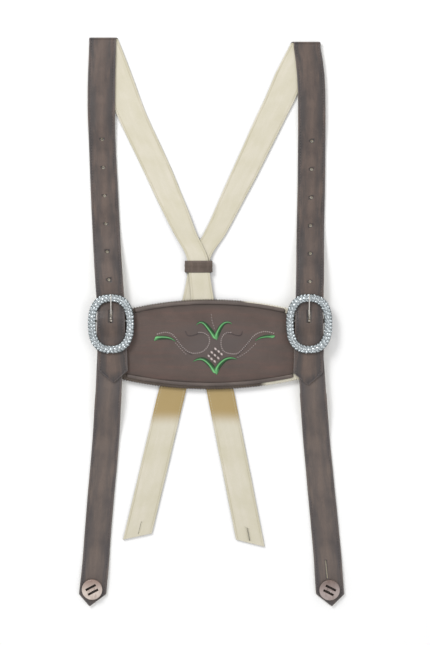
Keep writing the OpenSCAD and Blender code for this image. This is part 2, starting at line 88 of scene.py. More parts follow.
# %% Cut a node across
def cut(node, axis, at):
    """Low and high ends of a node on flat cuts across it. Each mesh edge that crosses a cut gives
    one point, a + (b - a) * t, and the smallest and largest of the points are kept.
    Returns low, high (along Y for axis 0, along X for axis 1), lowest Z and highest Z."""
    mesh = frame["nodes"][node].data
    points = np.empty(3 * len(mesh.vertices))
    mesh.vertices.foreach_get("co", points)
    ends = np.empty(2 * len(mesh.edges), int)
    mesh.edges.foreach_get("vertices", ends)
    a, b = (points.reshape(-1, 3) * 1000)[ends.reshape(-1, 2)].transpose(1, 0, 2)
    span = b[:, axis] - a[:, axis]
    t = (np.asarray(at, float)[:, None] - a[:, axis]) / np.where(abs(span) < 1e-7, np.nan, span)
    t = np.where((t < 0) | (t > 1), np.nan, t)
    other = a[:, 1 - axis] + (b - a)[:, 1 - axis] * t
    z = a[:, 2] + (b - a)[:, 2] * t
    return np.nanmin(other, 1), np.nanmax(other, 1), np.nanmin(z, 1), np.nanmax(z, 1)


def box_mm(node):
    """Lowest and highest corners of a node in millimetres."""
    low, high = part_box(node)
    return np.array(low) * 1000, np.array(high) * 1000


print("left shoulder strap, at Y = 100:", np.round(np.ravel(cut("front_strap_left_outer", 1, [100.0])), 1))

# %% [markdown]
# ## From a grid of points to a mesh
#
# Every new piece is a grid of points: along the strap one way and round its cross-section the
# other way. Blender's own modelling tools could make the same shapes by hand, but a formula
# keeps them exact and easy to change. One helper joins the grid into a closed skin, one copies
# a small shape many times, as for stitches, and one turns points into an object.

# %% Skins, copies and pieces
def skin(grid, ring=False):
    """Points and four-cornered faces of a tube-like grid, rows x columns x 3. Columns go once
    round. The ends are closed by strips that join column j to column -j, or, for a ring, the
    last row joins the first."""
    n, m = grid.shape[:2]
    i, j = np.arange(n if ring else n - 1)[:, None], np.arange(m)[None, :]
    a, b = i * m, (i + 1) % n * m
    k = (j + 1) % m
    faces = [np.stack(np.broadcast_arrays(a + j, a + k, b + k, b + j), -1).reshape(-1, 4)]
    if not ring:
        j = np.arange(m // 2 - 1)
        strip = np.stack([j, j + 1, m - 2 - j, m - 1 - j], -1)
        faces += [strip[:, ::-1], strip + (n - 1) * m]
    return grid.reshape(-1, 3), np.concatenate(faces)


def copies(shape, at, along, up=(0, 0, 1), size=1.0):
    """Many copies of one small skin: each point p goes to at + x * along + y * side + z * up,
    where side is square to the other two. size is one number or one for each copy."""
    points, faces = shape
    along = along / np.linalg.norm(along, axis=1, keepdims=True)
    up = np.broadcast_to(np.asarray(up, float), along.shape)
    side = np.cross(up, along)
    side /= np.linalg.norm(side, axis=1, keepdims=True)
    turn = np.stack([along, side, np.cross(along, side)], 1)
    size = np.broadcast_to(np.asarray(size, float), (len(at),))
    spread = at[:, None] + np.einsum("pi,nij->npj", points, turn) * size[:, None, None]
    joined = faces[None] + (np.arange(len(at)) * len(points))[:, None, None]
    return spread.reshape(-1, 3), joined.reshape(-1, 4)


def together(*skins):
    """Several skins as one list of points and one of faces."""
    start = np.cumsum([0] + [len(p) for p, _ in skins[:-1]])
    return np.concatenate([p for p, _ in skins]), np.concatenate([f + s for (_, f), s in zip(skins, start)])


def piece(name, shape, finish, slot=None, body=None, bend=None, stands_for=(), uv=None, **values):
    """One finished object from a skin in millimetres. Faces are turned outwards when the skin's
    volume, the sum of a . (b x c) over its faces, comes out negative. values are numbers for
    each point that the finish reads; uv is where each point lies on the flat hide, in metres."""
    points, faces = shape
    a, b, c, d = points[faces].transpose(1, 0, 2)
    if (a * (np.cross(b, c) + np.cross(c, d))).sum() < 0:
        faces = faces[:, ::-1]
    mesh = bpy.data.meshes.new(name)
    mesh.from_pydata((points / 1000).tolist(), [], faces.tolist())
    mesh.polygons.foreach_set("use_smooth", np.ones(len(faces), bool))
    for key, numbers in values.items():
        mesh.attributes.new(key, "FLOAT", "POINT").data.foreach_set("value", np.asarray(numbers, np.float32).ravel())
    if uv is not None:
        layer = mesh.uv_layers.new(name="hide")
        layer.data.foreach_set("uv", np.asarray(uv, np.float32).reshape(-1, 2)[faces.ravel()].ravel())
    mesh.materials.append(finish)
    mesh.update()
    made = bpy.data.objects.new(name, mesh)
    bpy.context.scene.collection.objects.link(made)
    if stands_for:
        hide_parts(*stands_for)
    if body:
        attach(made, body)
    if bend:
        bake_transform(made)
    print(f"{name}: {len(points)} points, {len(faces)} faces")
    return made


# %% [markdown]
# ## Finishes
#
# A finish is a small tree of nodes. One helper adds a node with its settings and links, and one
# turns the colours on a paint chart (sRGB) into the linear numbers that the renderer needs.

# %% Colours and nodes
def paint(code):
    """Linear colour from an sRGB code such as 7a6b62: ((c + 0.055) / 1.055) ** 2.4, or c / 12.92
    where c is small."""
    c = np.array([int(code[i:i + 2], 16) for i in (0, 2, 4)]) / 255
    return (*np.where(c > 0.04045, ((c + 0.055) / 1.055) ** 2.4, c / 12.92).tolist(), 1.0)


def add(tree, kind, sockets=None, stops=None, **settings):
    """Adds a node. settings are its own options, sockets gives each socket a value or a link from
    another node's output, and stops are the places and colours of a colour ramp."""
    made = tree.nodes.new(kind)
    for key, value in settings.items():
        setattr(made, key, value)
    for key, value in (sockets or {}).items():
        if isinstance(value, bpy.types.NodeSocket):
            tree.links.new(value, made.inputs[key])
        else:
            made.inputs[key].default_value = value
    if stops:
        ramp = made.color_ramp.elements
        ramp[0].position, ramp[0].color = stops[0]
        ramp[1].position, ramp[1].color = stops[-1]
        for place, colour in stops[1:-1]:
            ramp.new(place).color = colour
    return made


def blank(name):
    """A new finish, its tree and its shader."""
    finish = bpy.data.materials.new(name)
    finish.use_nodes = True
    return finish, finish.node_tree, finish.node_tree.nodes["Principled BSDF"]


print("brown leather is", np.round(paint("6b615c")[:3], 3))

# %% [markdown]
# ## Grain leather
#
# The front of each strap is full-grain cowhide, dyed brown, waxed and worn soft. Across it the colour is lighter and
# warmer along the middle and darker towards the edges: partly the dye rubbed thin along the middle, partly painted
# shade of the crowned band. Painted shade also darkens the crease 3 mm in and the very edge, and half a millimetre in
# from the cut edge a painted highlight stands for the light that the rounded edge catches. The grain itself is a net of
# cells about 1 mm wide.
#
# Each point of a strap knows its distance from the nearest edge in millimetres ("inset"), so one colour ramp across the
# width can draw the edge with its painted highlight, the crease with its painted shade and the lighter middle. Noise
# that is stretched along the strap adds the streaks. The flat hide's own coordinates keep the pattern in place when a
# strap bends.

# %% The leather finishes
def leather(name, across, streak, stain, grain=1.1, rough=0.5, bump=0.35, streaky=0.8,
            tint_and_shadow="4a4240", place="UV"):
    """Leather: across lists (millimetres from the edge, colour), streak is the colour of the rubbed streaks, stain that
    of darker clouds, and grain is the size of the grain's cells in mm. Where a piece's points hold a "shade" above 0,
    the colour moves by that much towards one more colour: a painted shadow on the back straps' cream, a darker tone
    round the plate's motif and a cream tint on the backing."""
    finish, tree, shader = blank(name)
    where = add(tree, "ShaderNodeTexCoord").outputs[place]
    inset = add(tree, "ShaderNodeAttribute", attribute_name="inset").outputs["Fac"]
    share = add(tree, "ShaderNodeMath", {0: inset, 1: 1 / 20}, operation="MULTIPLY")
    base = add(tree, "ShaderNodeValToRGB", {"Fac": share.outputs[0]},
               stops=[(mm / 20, paint(code)) for mm, code in across])
    pulled = add(tree, "ShaderNodeMapping", {"Vector": where, "Scale": (1, 0.14, 1)})
    streaks = add(tree, "ShaderNodeTexNoise", {"Vector": pulled.outputs[0], "Scale": 120.0, "Detail": 6.0,
                                               "Roughness": 0.6})
    rubbed = add(tree, "ShaderNodeMapRange", {"Value": streaks.outputs["Fac"], "From Min": 0.46, "From Max": 0.68,
                                              "To Max": streaky})
    worn = add(tree, "ShaderNodeMix", {0: rubbed.outputs[0], 6: base.outputs[0], 7: paint(streak)},
               data_type="RGBA")
    clouds = add(tree, "ShaderNodeTexNoise", {"Vector": where, "Scale": 28.0, "Detail": 4.0, "Roughness": 0.55})
    dim = add(tree, "ShaderNodeMapRange", {"Value": clouds.outputs["Fac"], "From Min": 0.42, "From Max": 0.7,
                                           "To Max": 0.55})
    stained = add(tree, "ShaderNodeMix", {0: dim.outputs[0], 6: worn.outputs[2], 7: paint(stain)},
                  data_type="RGBA")
    cells = add(tree, "ShaderNodeTexVoronoi", {"Vector": where, "Scale": 1000 / grain, "Randomness": 1.0},
                feature="DISTANCE_TO_EDGE")
    valleys = add(tree, "ShaderNodeMapRange", {"Value": cells.outputs["Distance"], "From Max": 0.16})
    pores = add(tree, "ShaderNodeTexNoise", {"Vector": where, "Scale": 2600.0, "Detail": 2.0})
    height = add(tree, "ShaderNodeMath", {0: pores.outputs["Fac"], 1: 0.5, 2: valleys.outputs[0]},
                 operation="MULTIPLY_ADD")
    creases = add(tree, "ShaderNodeMath", {0: streaks.outputs["Fac"], 1: 2.5, 2: height.outputs[0]},
                  operation="MULTIPLY_ADD")
    relief = add(tree, "ShaderNodeBump", {"Height": creases.outputs[0], "Strength": bump, "Distance": 0.0002})
    shade = add(tree, "ShaderNodeMapRange", {"Value": valleys.outputs[0], "To Min": 0.35, "To Max": 0.0})
    grained = add(tree, "ShaderNodeMix", {0: shade.outputs[0], 6: stained.outputs[2], 7: paint(stain)},
                  data_type="RGBA")
    dull = add(tree, "ShaderNodeMapRange", {"Value": clouds.outputs["Fac"], "From Min": 0.3, "From Max": 0.7,
                                            "To Min": rough - 0.1, "To Max": rough + 0.12})
    shade = add(tree, "ShaderNodeAttribute", attribute_name="shade").outputs["Fac"]
    tinted = add(tree, "ShaderNodeMix", {0: shade, 6: grained.outputs[2], 7: paint(tint_and_shadow)}, data_type="RGBA")
    for socket, made in (("Base Color", tinted.outputs[2]), ("Roughness", dull.outputs[0]),
                         ("Normal", relief.outputs[0])):
        tree.links.new(made, shader.inputs[socket])
    return finish


# Painted light in these two ramps: the bright colour half a millimetre in is a painted highlight on the rounded edge,
# the very edge and the dark dip at 3 mm are painted shade at the edge and in the crease, and the lighter middle is
# partly worn dye and partly painted light on the crowned band. The cream ramp below has the same painted shade in its
# crease at 3 mm.
brown = leather("waxed_brown_grain_leather",
                [(0, "35302e"), (0.5, "6d6767"), (1.3, "4a4444"), (2.6, "3f3a3b"), (3.0, "252223"),
                 (3.5, "3f3a3a"), (8, "49413e"), (13, "5b4d46"), (17.5, "66564d")], "725f54", "383232")
low_brown = leather("rubbed_brown_grain_leather",
                    [(0, "3b3534"), (0.5, "736c6a"), (1.3, "544e4e"), (2.6, "4a4648"), (3.0, "2a282b"),
                     (3.5, "4b4647"), (8, "5a514d"), (17.5, "6d5f57")], "78685d", "464040")
# The plate's darkest colour at its very edge is painted shade of the seam where it meets the piping.
plate_brown = leather("smooth_plate_leather", [(0, "382e28"), (2, "4e403a"), (9, "5b4a43"), (20, "594a44")],
                      "6c4d44", "453b36", grain=0.9, streaky=0.5, tint_and_shadow="544b49")
backing_brown = leather("backing_leather", [(0, "3b332f"), (1, "55493f"), (20, "5a4d44")], "65574c", "443a34", tint_and_shadow="d3cdbb")
keeper_brown = leather("worn_keeper_leather", [(0, "41352f"), (1.0, "6e6058"), (3, "57493f"), (20, "5f5047")],
                       "7a685c", "3f352f", bump=0.6)
# The cream's last colour, an ochre, is used for a painted shadow: the back straps lay it on where the chest plate's
# shadow falls below the plate.
cream = leather("cream_lining_leather",
                [(0, "b3ae97"), (0.7, "cdc7b4"), (3.0, "bdb69e"), (3.6, "cfc9b6"), (20, "d2ccbb")],
                "d9d2c4", "c5bfa6", grain=1.4, rough=0.65, bump=0.22, tint_and_shadow="a48b55")
print("leathers:", [m.name for m in (brown, low_brown, plate_brown, backing_brown, keeper_brown, cream)])

# %% [markdown]
# ## The straps
#
# Each strap is two hides glued and sewn back to back: 1.3 mm of brown grain leather on 1.1 mm
# of cream lining. A box with bevelled edges would look like plastic. Real strapping is slightly
# crowned, its edges are rounded by burnishing, a crease is pressed in 3 mm from each edge and
# the whole band wavers a little. All of that is one height formula across the strap.

# %% A layer of strap
def across_strap(fine):
    """Distances of the mesh's columns from the edges, in mm, on the left and then on the right."""
    near = [0, 0.12, 0.35, 0.7, 1.1, 1.8, 2.5, 2.8, 3.0, 3.2, 3.6, 4.6, 6.5, 9, 13] if fine else [0, 0.4, 1.1, 5, 11]
    return np.array(near + [17.5] + near[::-1]), np.array([-1] * len(near) + [0] + [1] * len(near))


def strap_layer(name, course, finish, fine=True, crown=0.3, crease=0.28, waver=0.25, plate_shadow=None, **how):
    """Skin of one layer of strap. course has, row by row, x and y of the middle, half the width,
    turn (angle of the row from X), and low and high, the heights that the layer lies between.
    Top = high + crown * (1 - s^2) - 0.55 * (rounding of the edge) - crease * exp(-((d - 3) / 0.22)^2),
    where d is the distance from the edge and s runs from -1 to 1 across."""
    x, y, half, turn, low, high = (course[k] for k in ("x", "y", "half", "turn", "low", "high"))
    inset, side = across_strap(fine)
    scale = np.minimum(1, half / 17.5)[:, None]
    along = np.concatenate([[0], np.cumsum(np.hypot(np.diff(x), np.diff(y)))])
    sway = waver * (np.sin(along / 23 + 1.3) + 0.6 * np.sin(along / 9.1)) * np.clip(scale[:, 0] * 2 - 1, 0, 1)
    offset = side * (half[:, None] - inset * scale) + sway[:, None] * 0.35
    s = offset / np.maximum(half[:, None], 0.1)
    rounding = 1 - np.sqrt(1 - (1 - np.clip(inset / 1.0, 0, 1)) ** 2)
    top = high[:, None] + crown * (1 - s ** 2) * scale - 0.5 * rounding - crease * np.exp(
        -((inset - 3) / 0.25) ** 2) * scale
    top = top + 0.06 * np.sin(along / 5.3)[:, None] * np.cos(3 * s) * (crown > 0)
    bottom = low[:, None] + np.zeros_like(s) + 0.12 * rounding
    px = x[:, None] + offset * np.cos(turn)[:, None]
    py = y[:, None] + offset * np.sin(turn)[:, None]
    grid = np.concatenate([np.stack([px, py, top], -1), np.stack([px, py, bottom], -1)[:, ::-1]], 1)
    hide = np.stack([offset, along[:, None] + 0 * offset], -1) / 1000
    hide = np.concatenate([hide, hide[:, ::-1]], 1)
    deep = np.broadcast_to(inset * scale, offset.shape)
    deep = np.concatenate([deep, deep[:, ::-1]], 1)
    # Where a per-row number is given, it is a painted shadow, handed to the finish as "shade".
    if plate_shadow is not None:
        how["shade"] = np.broadcast_to(plate_shadow[:, None], deep.shape)
    return piece(name, skin(grid), finish, uv=hide, inset=deep, **how)


def course_of(nodes, ys):
    """Course through one or more nodes: each is cut across, and gaps between them are bridged."""
    rows = []
    for node in nodes:
        low, high = box_mm(node)
        inside = ys[(ys < high[1] - 0.05) & (ys > low[1] + 0.05)]
        x0, x1, z0, z1 = cut(node, 1, inside)
        rows.append(np.stack([inside, x0, x1, z0, z1]))
    y, x0, x1, z0, z1 = np.concatenate(rows, 1)[:, np.argsort(-np.concatenate(rows, 1)[0])]
    found = [np.interp(-ys, -y, v) for v in (x0, x1, z0, z1)]
    return dict(x=(found[0] + found[1]) / 2, half=(found[1] - found[0]) / 2, y=ys,
                turn=np.zeros(len(ys)), low=found[2], high=found[3])


def seam(course, inset=3.0, pitch=3.6, length=2.7, thick=0.3, lift=0.1, skip=()):
    """A row of stitches along each edge. Stitches lie on the line that is inset from the edge,
    pitch apart along it, and are bead-like bars: radius = thick * sqrt(1 - t^6), t from -1 to 1."""
    t, a = np.linspace(-1, 1, 6)[:, None], np.linspace(0, 2 * np.pi, 6, endpoint=False)[None, :]
    r = thick * np.sqrt(1 - 0.97 * t ** 6)
    bar = skin(np.stack([t * length / 2 + 0 * a, r * np.cos(a), r * np.sin(a)], -1))
    spots, ways = [], []
    for side in (-1, 1):
        off = side * (course["half"] - inset)
        line = np.stack([course["x"] + off * np.cos(course["turn"]), course["y"] + off * np.sin(course["turn"]),
                         course["high"] + lift], -1)[course["half"] > 12]
        far = np.concatenate([[0], np.cumsum(np.linalg.norm(np.diff(line, axis=0), axis=1))])
        at = np.arange(pitch, far[-1] - pitch, pitch)
        ends = [np.stack([np.interp(at + h, far, line[:, k]) for k in range(3)], -1) for h in (-1, 1)]
        spots.append(sum(ends) / 2)
        ways.append(ends[1] - ends[0] + np.cross(ends[1] - ends[0], (0, 0, 1)) * 0.09)
    spots, ways = np.concatenate(spots), np.concatenate(ways)
    free = np.ones(len(spots), bool)
    for low, high in skip:
        free &= (spots[:, 1] < low) | (spots[:, 1] > high)
    return copies(bar, spots[free], ways[free])


def thread(name, colour, pale, gauge=0.5, sheen=0.3):
    """Waxed or silk thread: two colours that change along it, and a fine twist as a bump."""
    finish, tree, shader = blank(name)
    where = add(tree, "ShaderNodeTexCoord").outputs["Object"]
    patchy = add(tree, "ShaderNodeTexNoise", {"Vector": where, "Scale": 260.0, "Detail": 3.0})
    tone = add(tree, "ShaderNodeMix", {0: patchy.outputs["Fac"], 6: paint(colour), 7: paint(pale)}, data_type="RGBA")
    twist = add(tree, "ShaderNodeTexWave", {"Vector": where, "Scale": 1000 / gauge / 20, "Distortion": 3.0,
                                            "Detail": 2.0}, bands_direction="DIAGONAL")
    relief = add(tree, "ShaderNodeBump", {"Height": twist.outputs["Fac"], "Strength": 0.3, "Distance": 0.0001})
    tree.links.new(tone.outputs[2], shader.inputs["Base Color"])
    tree.links.new(relief.outputs[0], shader.inputs["Normal"])
    shader.inputs["Roughness"].default_value = 0.5
    shader.inputs["Sheen Weight"].default_value = sheen
    return finish


dark_thread = thread("dark_waxed_thread", "4a4340", "6a615c")
cream_thread = thread("cream_waxed_thread", "b9b399", "d4cfbc")

# %% Punch holes and slits
def punch(target, places, wide, low, high, slits=()):
    """Cuts round holes of width wide, and slits given as (x, y, lean, width, length), right through a piece. The
    punches are one mesh of posts, and the walls that they cut get a pale finish, partly the raw hide's own colour and
    partly painted light, so that the holes and slits read bright."""
    rings = []
    a = np.linspace(0, 2 * np.pi, 20, endpoint=False)
    for x, y in places:
        rings.append(np.stack([x + wide / 2 * np.cos(a), y + wide / 2 * np.sin(a)], -1))
    for x, y, lean, w, l in slits:
        box = np.array([(-w, -l), (w, -l), (w, l), (-w, l)]) / 2
        c, s = np.cos(lean), np.sin(lean)
        rings.append(np.stack([x + box[:, 0] * c + box[:, 1] * s, y - box[:, 0] * s + box[:, 1] * c], -1))
    posts = [skin(np.stack([np.c_[ring, np.full(len(ring), z)] for z in (low, high)])) for ring in rings]
    punches = piece("punches", together(*posts), cut_edge_and_painted_light)
    cutting = target.modifiers.new("punched", "BOOLEAN")
    cutting.operation, cutting.object, cutting.solver = "DIFFERENCE", punches, "EXACT"
    cutting.material_mode = "TRANSFER"
    done = bpy.data.meshes.new_from_object(target.evaluated_get(bpy.context.evaluated_depsgraph_get()))
    target.modifiers.clear()
    target.data = done
    done.name = target.name
    bpy.data.objects.remove(punches)
    print(target.name, "after punching:", len(done.vertices), "points,", len(done.materials), "finishes")


# The cut walls are painted paler than raw hide: partly its own colour, partly painted light that stands for the lit
# floor seen through the holes and slits.
cut_edge_and_painted_light = leather("cut_edge_leather_and_painted_light", [(0, "c9bfae"), (20, "cfc5b4")], "d8cfc0", "b3a791", place="Object")

# %% [markdown]
# ### Back straps
#
# A back strap and its free end below the crossing are one long band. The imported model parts
# them where the end can be lifted, so here one mesh covers both and bends there. Its rows lie
# level on the sloping part, then turn square to the free end, which is cut off straight.

# %% Back straps, from the shoulder to the free end
def back_course(strap, tail, ys):
    """Rows of a back strap and its free end. The free end's middle is the straight line that
    best fits its cuts. Below the bend each row turns from level to the slant of the cut end,
    which runs between the node's two lowest corners."""
    upper = course_of([strap], ys)
    low, high = box_mm(tail)
    probe = np.linspace(high[1] - 20, low[1] + 30, 12)
    x0, x1, z0, z1 = cut(tail, 1, probe)
    slope, start = np.polyfit(probe, (x0 + x1) / 2, 1)
    lean = np.arctan(slope)
    half = np.mean(x1 - x0) / 2 * np.cos(lean)
    mesh = frame["nodes"][tail].data
    points = np.empty(3 * len(mesh.vertices))
    mesh.vertices.foreach_get("co", points)
    points = points.reshape(-1, 3)[:, :2] * 1000
    down = points @ np.array([-np.sin(lean), -np.cos(lean)])
    across = (points[:, 0] - start - slope * points[:, 1]) * np.cos(lean)
    left, right = (points[np.argmax(np.where(s * across > 0.85 * half, down, -1e9))] for s in (-1, 1))
    slant = np.arctan2(*(right - left)[::-1])
    end = (left + right)[1] / 2
    ty = np.concatenate([np.arange(ys[-1] - 2.0, end + 2, -3.0), [end + 1.2, end + 0.4, end]])
    drop = np.clip((ys[-1] - ty) / (ys[-1] - end), 0, 1)
    turn = slant * drop * drop * (3 - 2 * drop)
    rows = dict(x=start + slope * ty, y=ty, turn=turn, half=half / np.cos(lean + turn),
                low=np.full(len(ty), z0.min()), high=np.full(len(ty), z1.max()))
    joined = {k: np.concatenate([upper[k], rows[k]]) for k in upper}
    for k in ("x", "half"):
        near = slice(len(ys) - 14, len(ys) + 14)
        joined[k][near] = np.interp(joined["y"][near], joined["y"][near][[-1, 14, 0]], joined[k][near][[-1, 14, 0]])
    return joined, lean


bends = {"left": ("back_straps", "back_tail_right", (0, -0.088, 0.0012), (0, -0.112, 0.0012)),
         "right": ("back_straps", "back_tail_left", (0, -0.088, 0.0012), (0, -0.112, 0.0012))}
fold, hides = {}, {}
for side, other in (("left", "right"), ("right", "left")):
    base = f"back_strap_{side}"
    top_y = box_mm(f"{base}_outer")[1][1]
    reach = box_mm(f"{base}_outer")[1][2] / 2
    fold[side] = (top_y - reach, reach)
    ys = np.concatenate([[top_y - reach], np.arange(top_y - reach - 1.5, -91, -2.2)])
    courses = {}
    for layer in ("outer", "lining"):
        courses[layer], lean = back_course(f"{base}_{layer}", f"back_tail_{other}_{layer}", ys)
        courses[layer]["high"][:3], courses[layer]["low"][:3] = (courses[layer][k][4] for k in ("high", "low"))
    tail = f"back_tail_{other}"
    hole = 1000 * np.array([m["pos_m"][:2] for m in frame["record"]["mounts"] if m["name"] == f"back_{other}_buttonhole"][0])
    y = courses["lining"]["y"]
    # Painted shadow of the chest plate on the back straps: the cream is tinted ochre from Y = -40 down to Y = -112, and
    # the tint fades out by Y = -134.
    fade = np.clip((y + 134) / 22, 0, 1)
    plate_shadow = 0.92 * fade * fade * (3 - 2 * fade) * (y < -40)
    for layer, finish, colour, fine in (("outer", brown, "brown", False), ("lining", cream, "cream", True)):
        made = strap_layer(f"{base}_{colour}_hide", courses[layer], finish, fine=fine, crown=0.12 * fine,
                           crease=0.12 * fine, plate_shadow=plate_shadow * fine,
                           slot="brown_leather" if layer == "outer" else "lining_leather")
        punch(made, [], 1, -1, 30, [(*hole, lean, 0.35 if side == "right" else 0.7, 16)])
        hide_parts(f"{base}_{layer}", f"{tail}_{layer}")
        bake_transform(made)
        hides[f"back_{side}_{colour}"] = (made, courses[layer])
    stitches = seam(courses["lining"], inset=2.6, thick=0.24, lift=0.02,
                    skip=[(58, 82)] + ([(95, 130)] if side == "right" else []))
    piece(f"{base}_edge_seams", stitches, cream_thread, bend=bends[side])
    fold[side] += (courses["outer"], courses["lining"])
    print(side, "free end leans", round(float(np.degrees(lean)), 1), "degrees")

# %% [markdown]
# ### Front straps and the shoulder fold
#
# The same bands come back down the front with their brown side up. Six adjusting holes are
# punched down the middle, and the buckle's prong stands in a narrow slot. Holes could be drawn
# in the colour only, but real ones let the white floor show through, so they are cut with a
# Boolean. At the shoulder the band rolls over through half a turn: each layer there is the
# strap's cross-section carried round the fold line.

# %% Front straps with their holes
def hole_places(node):
    """Middles of the punched holes: corners of the node's mesh that lie near its middle line,
    sorted down the strap and gathered wherever the next one is more than 6 mm away."""
    mesh = frame["nodes"][node].data
    points = np.empty(3 * len(mesh.vertices))
    mesh.vertices.foreach_get("co", points)
    points = points.reshape(-1, 3) * 1000
    points = points[(points[:, 1] > 25) & (points[:, 1] < box_mm(node)[1][1] - 20)]
    x0, x1, _, _ = cut(node, 1, points[:, 1])
    points = points[abs(points[:, 0] - (x0 + x1) / 2) < 3]
    points = points[np.argsort(points[:, 1])]
    groups = np.split(points, np.where(np.diff(points[:, 1]) > 6)[0] + 1)
    return [(g[:, :2].min(0) + g[:, :2].max(0)) / 2 for g in groups]


front, holes = {}, {}
for side in ("left", "right"):
    base = f"front_strap_{side}"
    low, high = box_mm(f"{base}_outer")
    prong_low, prong_high = box_mm(f"prong_{side}")
    bar_low, bar_high = box_mm(f"buckle_bar_{side}")
    bar_x, bar_y, bar_z = (bar_low + bar_high) / 2
    ys = np.concatenate([np.arange(fold[side][0], 50, -2.4), np.arange(49, -32, -1.2),
                         np.arange(-33, low[1] + 16, -2.2), np.linspace(low[1] + 15.2, low[1] + 0.06, 14)])
    holes[side] = hole_places(f"{base}_outer")
    for layer, finish, fine in (("lining", cream, False), ("outer", brown, True)):
        course = course_of([f"{base}_{layer}"], ys)
        front[side, layer] = course
        made = strap_layer(f"{base}_{layer}_hide", course, finish, fine=fine, crown=0.32 if fine else 0,
                           crease=0.3 if fine else 0, waver=0.08,
                           slot="brown_leather" if fine else "lining_leather")
        punch(made, holes[side], 3.5 if fine else 2.3, -1, 30, [(bar_x, bar_y + 6, 0, 2.9, 16.5)])
        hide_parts(f"{base}_{layer}")
        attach(made, "front")
        hides[f"front_{side}_{'brown' if fine else 'cream'}"] = (made, course)
    piece(f"{base}_edge_seams", seam(front[side, "outer"], lift=-0.02), dark_thread, body="front")


# %% Shoulder folds
def fold_layer(name, side, layer, outside, thick, finish, slot):
    """Half a turn of one layer about the fold line: y = fold + r cos(a), z = middle + r sin(a), for
    a from -90 to 90 degrees, where r is the layer's outer or inner radius."""
    fold_y, fold_z = fold[side][:2]
    below = fold[side][2 if layer == "outer" else 3]
    above = front[side, layer]
    a = np.linspace(-np.pi / 2, np.pi / 2, 21)[:, None]
    share = (np.sin(a) + 1) / 2
    inset, edge = across_strap(True)
    middle = below["x"][0] + (above["x"][0] - below["x"][0]) * share
    half = below["half"][0] + (above["half"][0] - below["half"][0]) * share
    offset = edge * (half - inset)
    rounding = 1 - np.sqrt(1 - (1 - np.clip(inset / 1.0, 0, 1)) ** 2)
    rings = []
    for r in (outside - 0.3 * rounding * thick, outside - thick + 0.1 * rounding * thick):
        r = np.maximum(r, 0.12) + 0 * offset
        rings.append(np.stack([middle + offset, fold_y + r * np.cos(a), fold_z + r * np.sin(a)], -1))
    grid = np.concatenate([rings[0], rings[1][:, ::-1]], 1)
    hide = np.stack([offset, -outside * (a - np.pi / 2) * np.ones_like(offset)], -1) / 1000
    return piece(name, skin(grid), finish, slot=slot, uv=np.concatenate([hide, hide[:, ::-1]], 1),
                 inset=np.broadcast_to(np.r_[inset, inset[::-1]], grid.shape[:2]),
                 bend=("back_straps", "front", (0, fold_y / 1000, 0), (0, fold_y / 1000, 2 * fold_z / 1000)))


for side in ("left", "right"):
    reach = fold[side][1]
    thick = front[side, "outer"]["high"][0] - front[side, "outer"]["low"][0]
    fold_layer(f"shoulder_fold_{side}_brown", side, "outer", reach, thick, brown, "brown_leather")
    fold_layer(f"shoulder_fold_{side}_cream", side, "lining", reach - thick, reach - thick - 0.25, cream,
               "lining_leather")
    print(side, "holes at Y", [round(float(p[1]), 1) for p in holes[side]])

# %% [markdown]
# ### Lower straps
#
# Under each buckle a strap is sewn to the chest plate. Its top end loops round the buckle's
# bar, and its free end runs down to the button and comes to a point. It is one band again, in
# two layers, which bends just below the plate where it can be lifted.

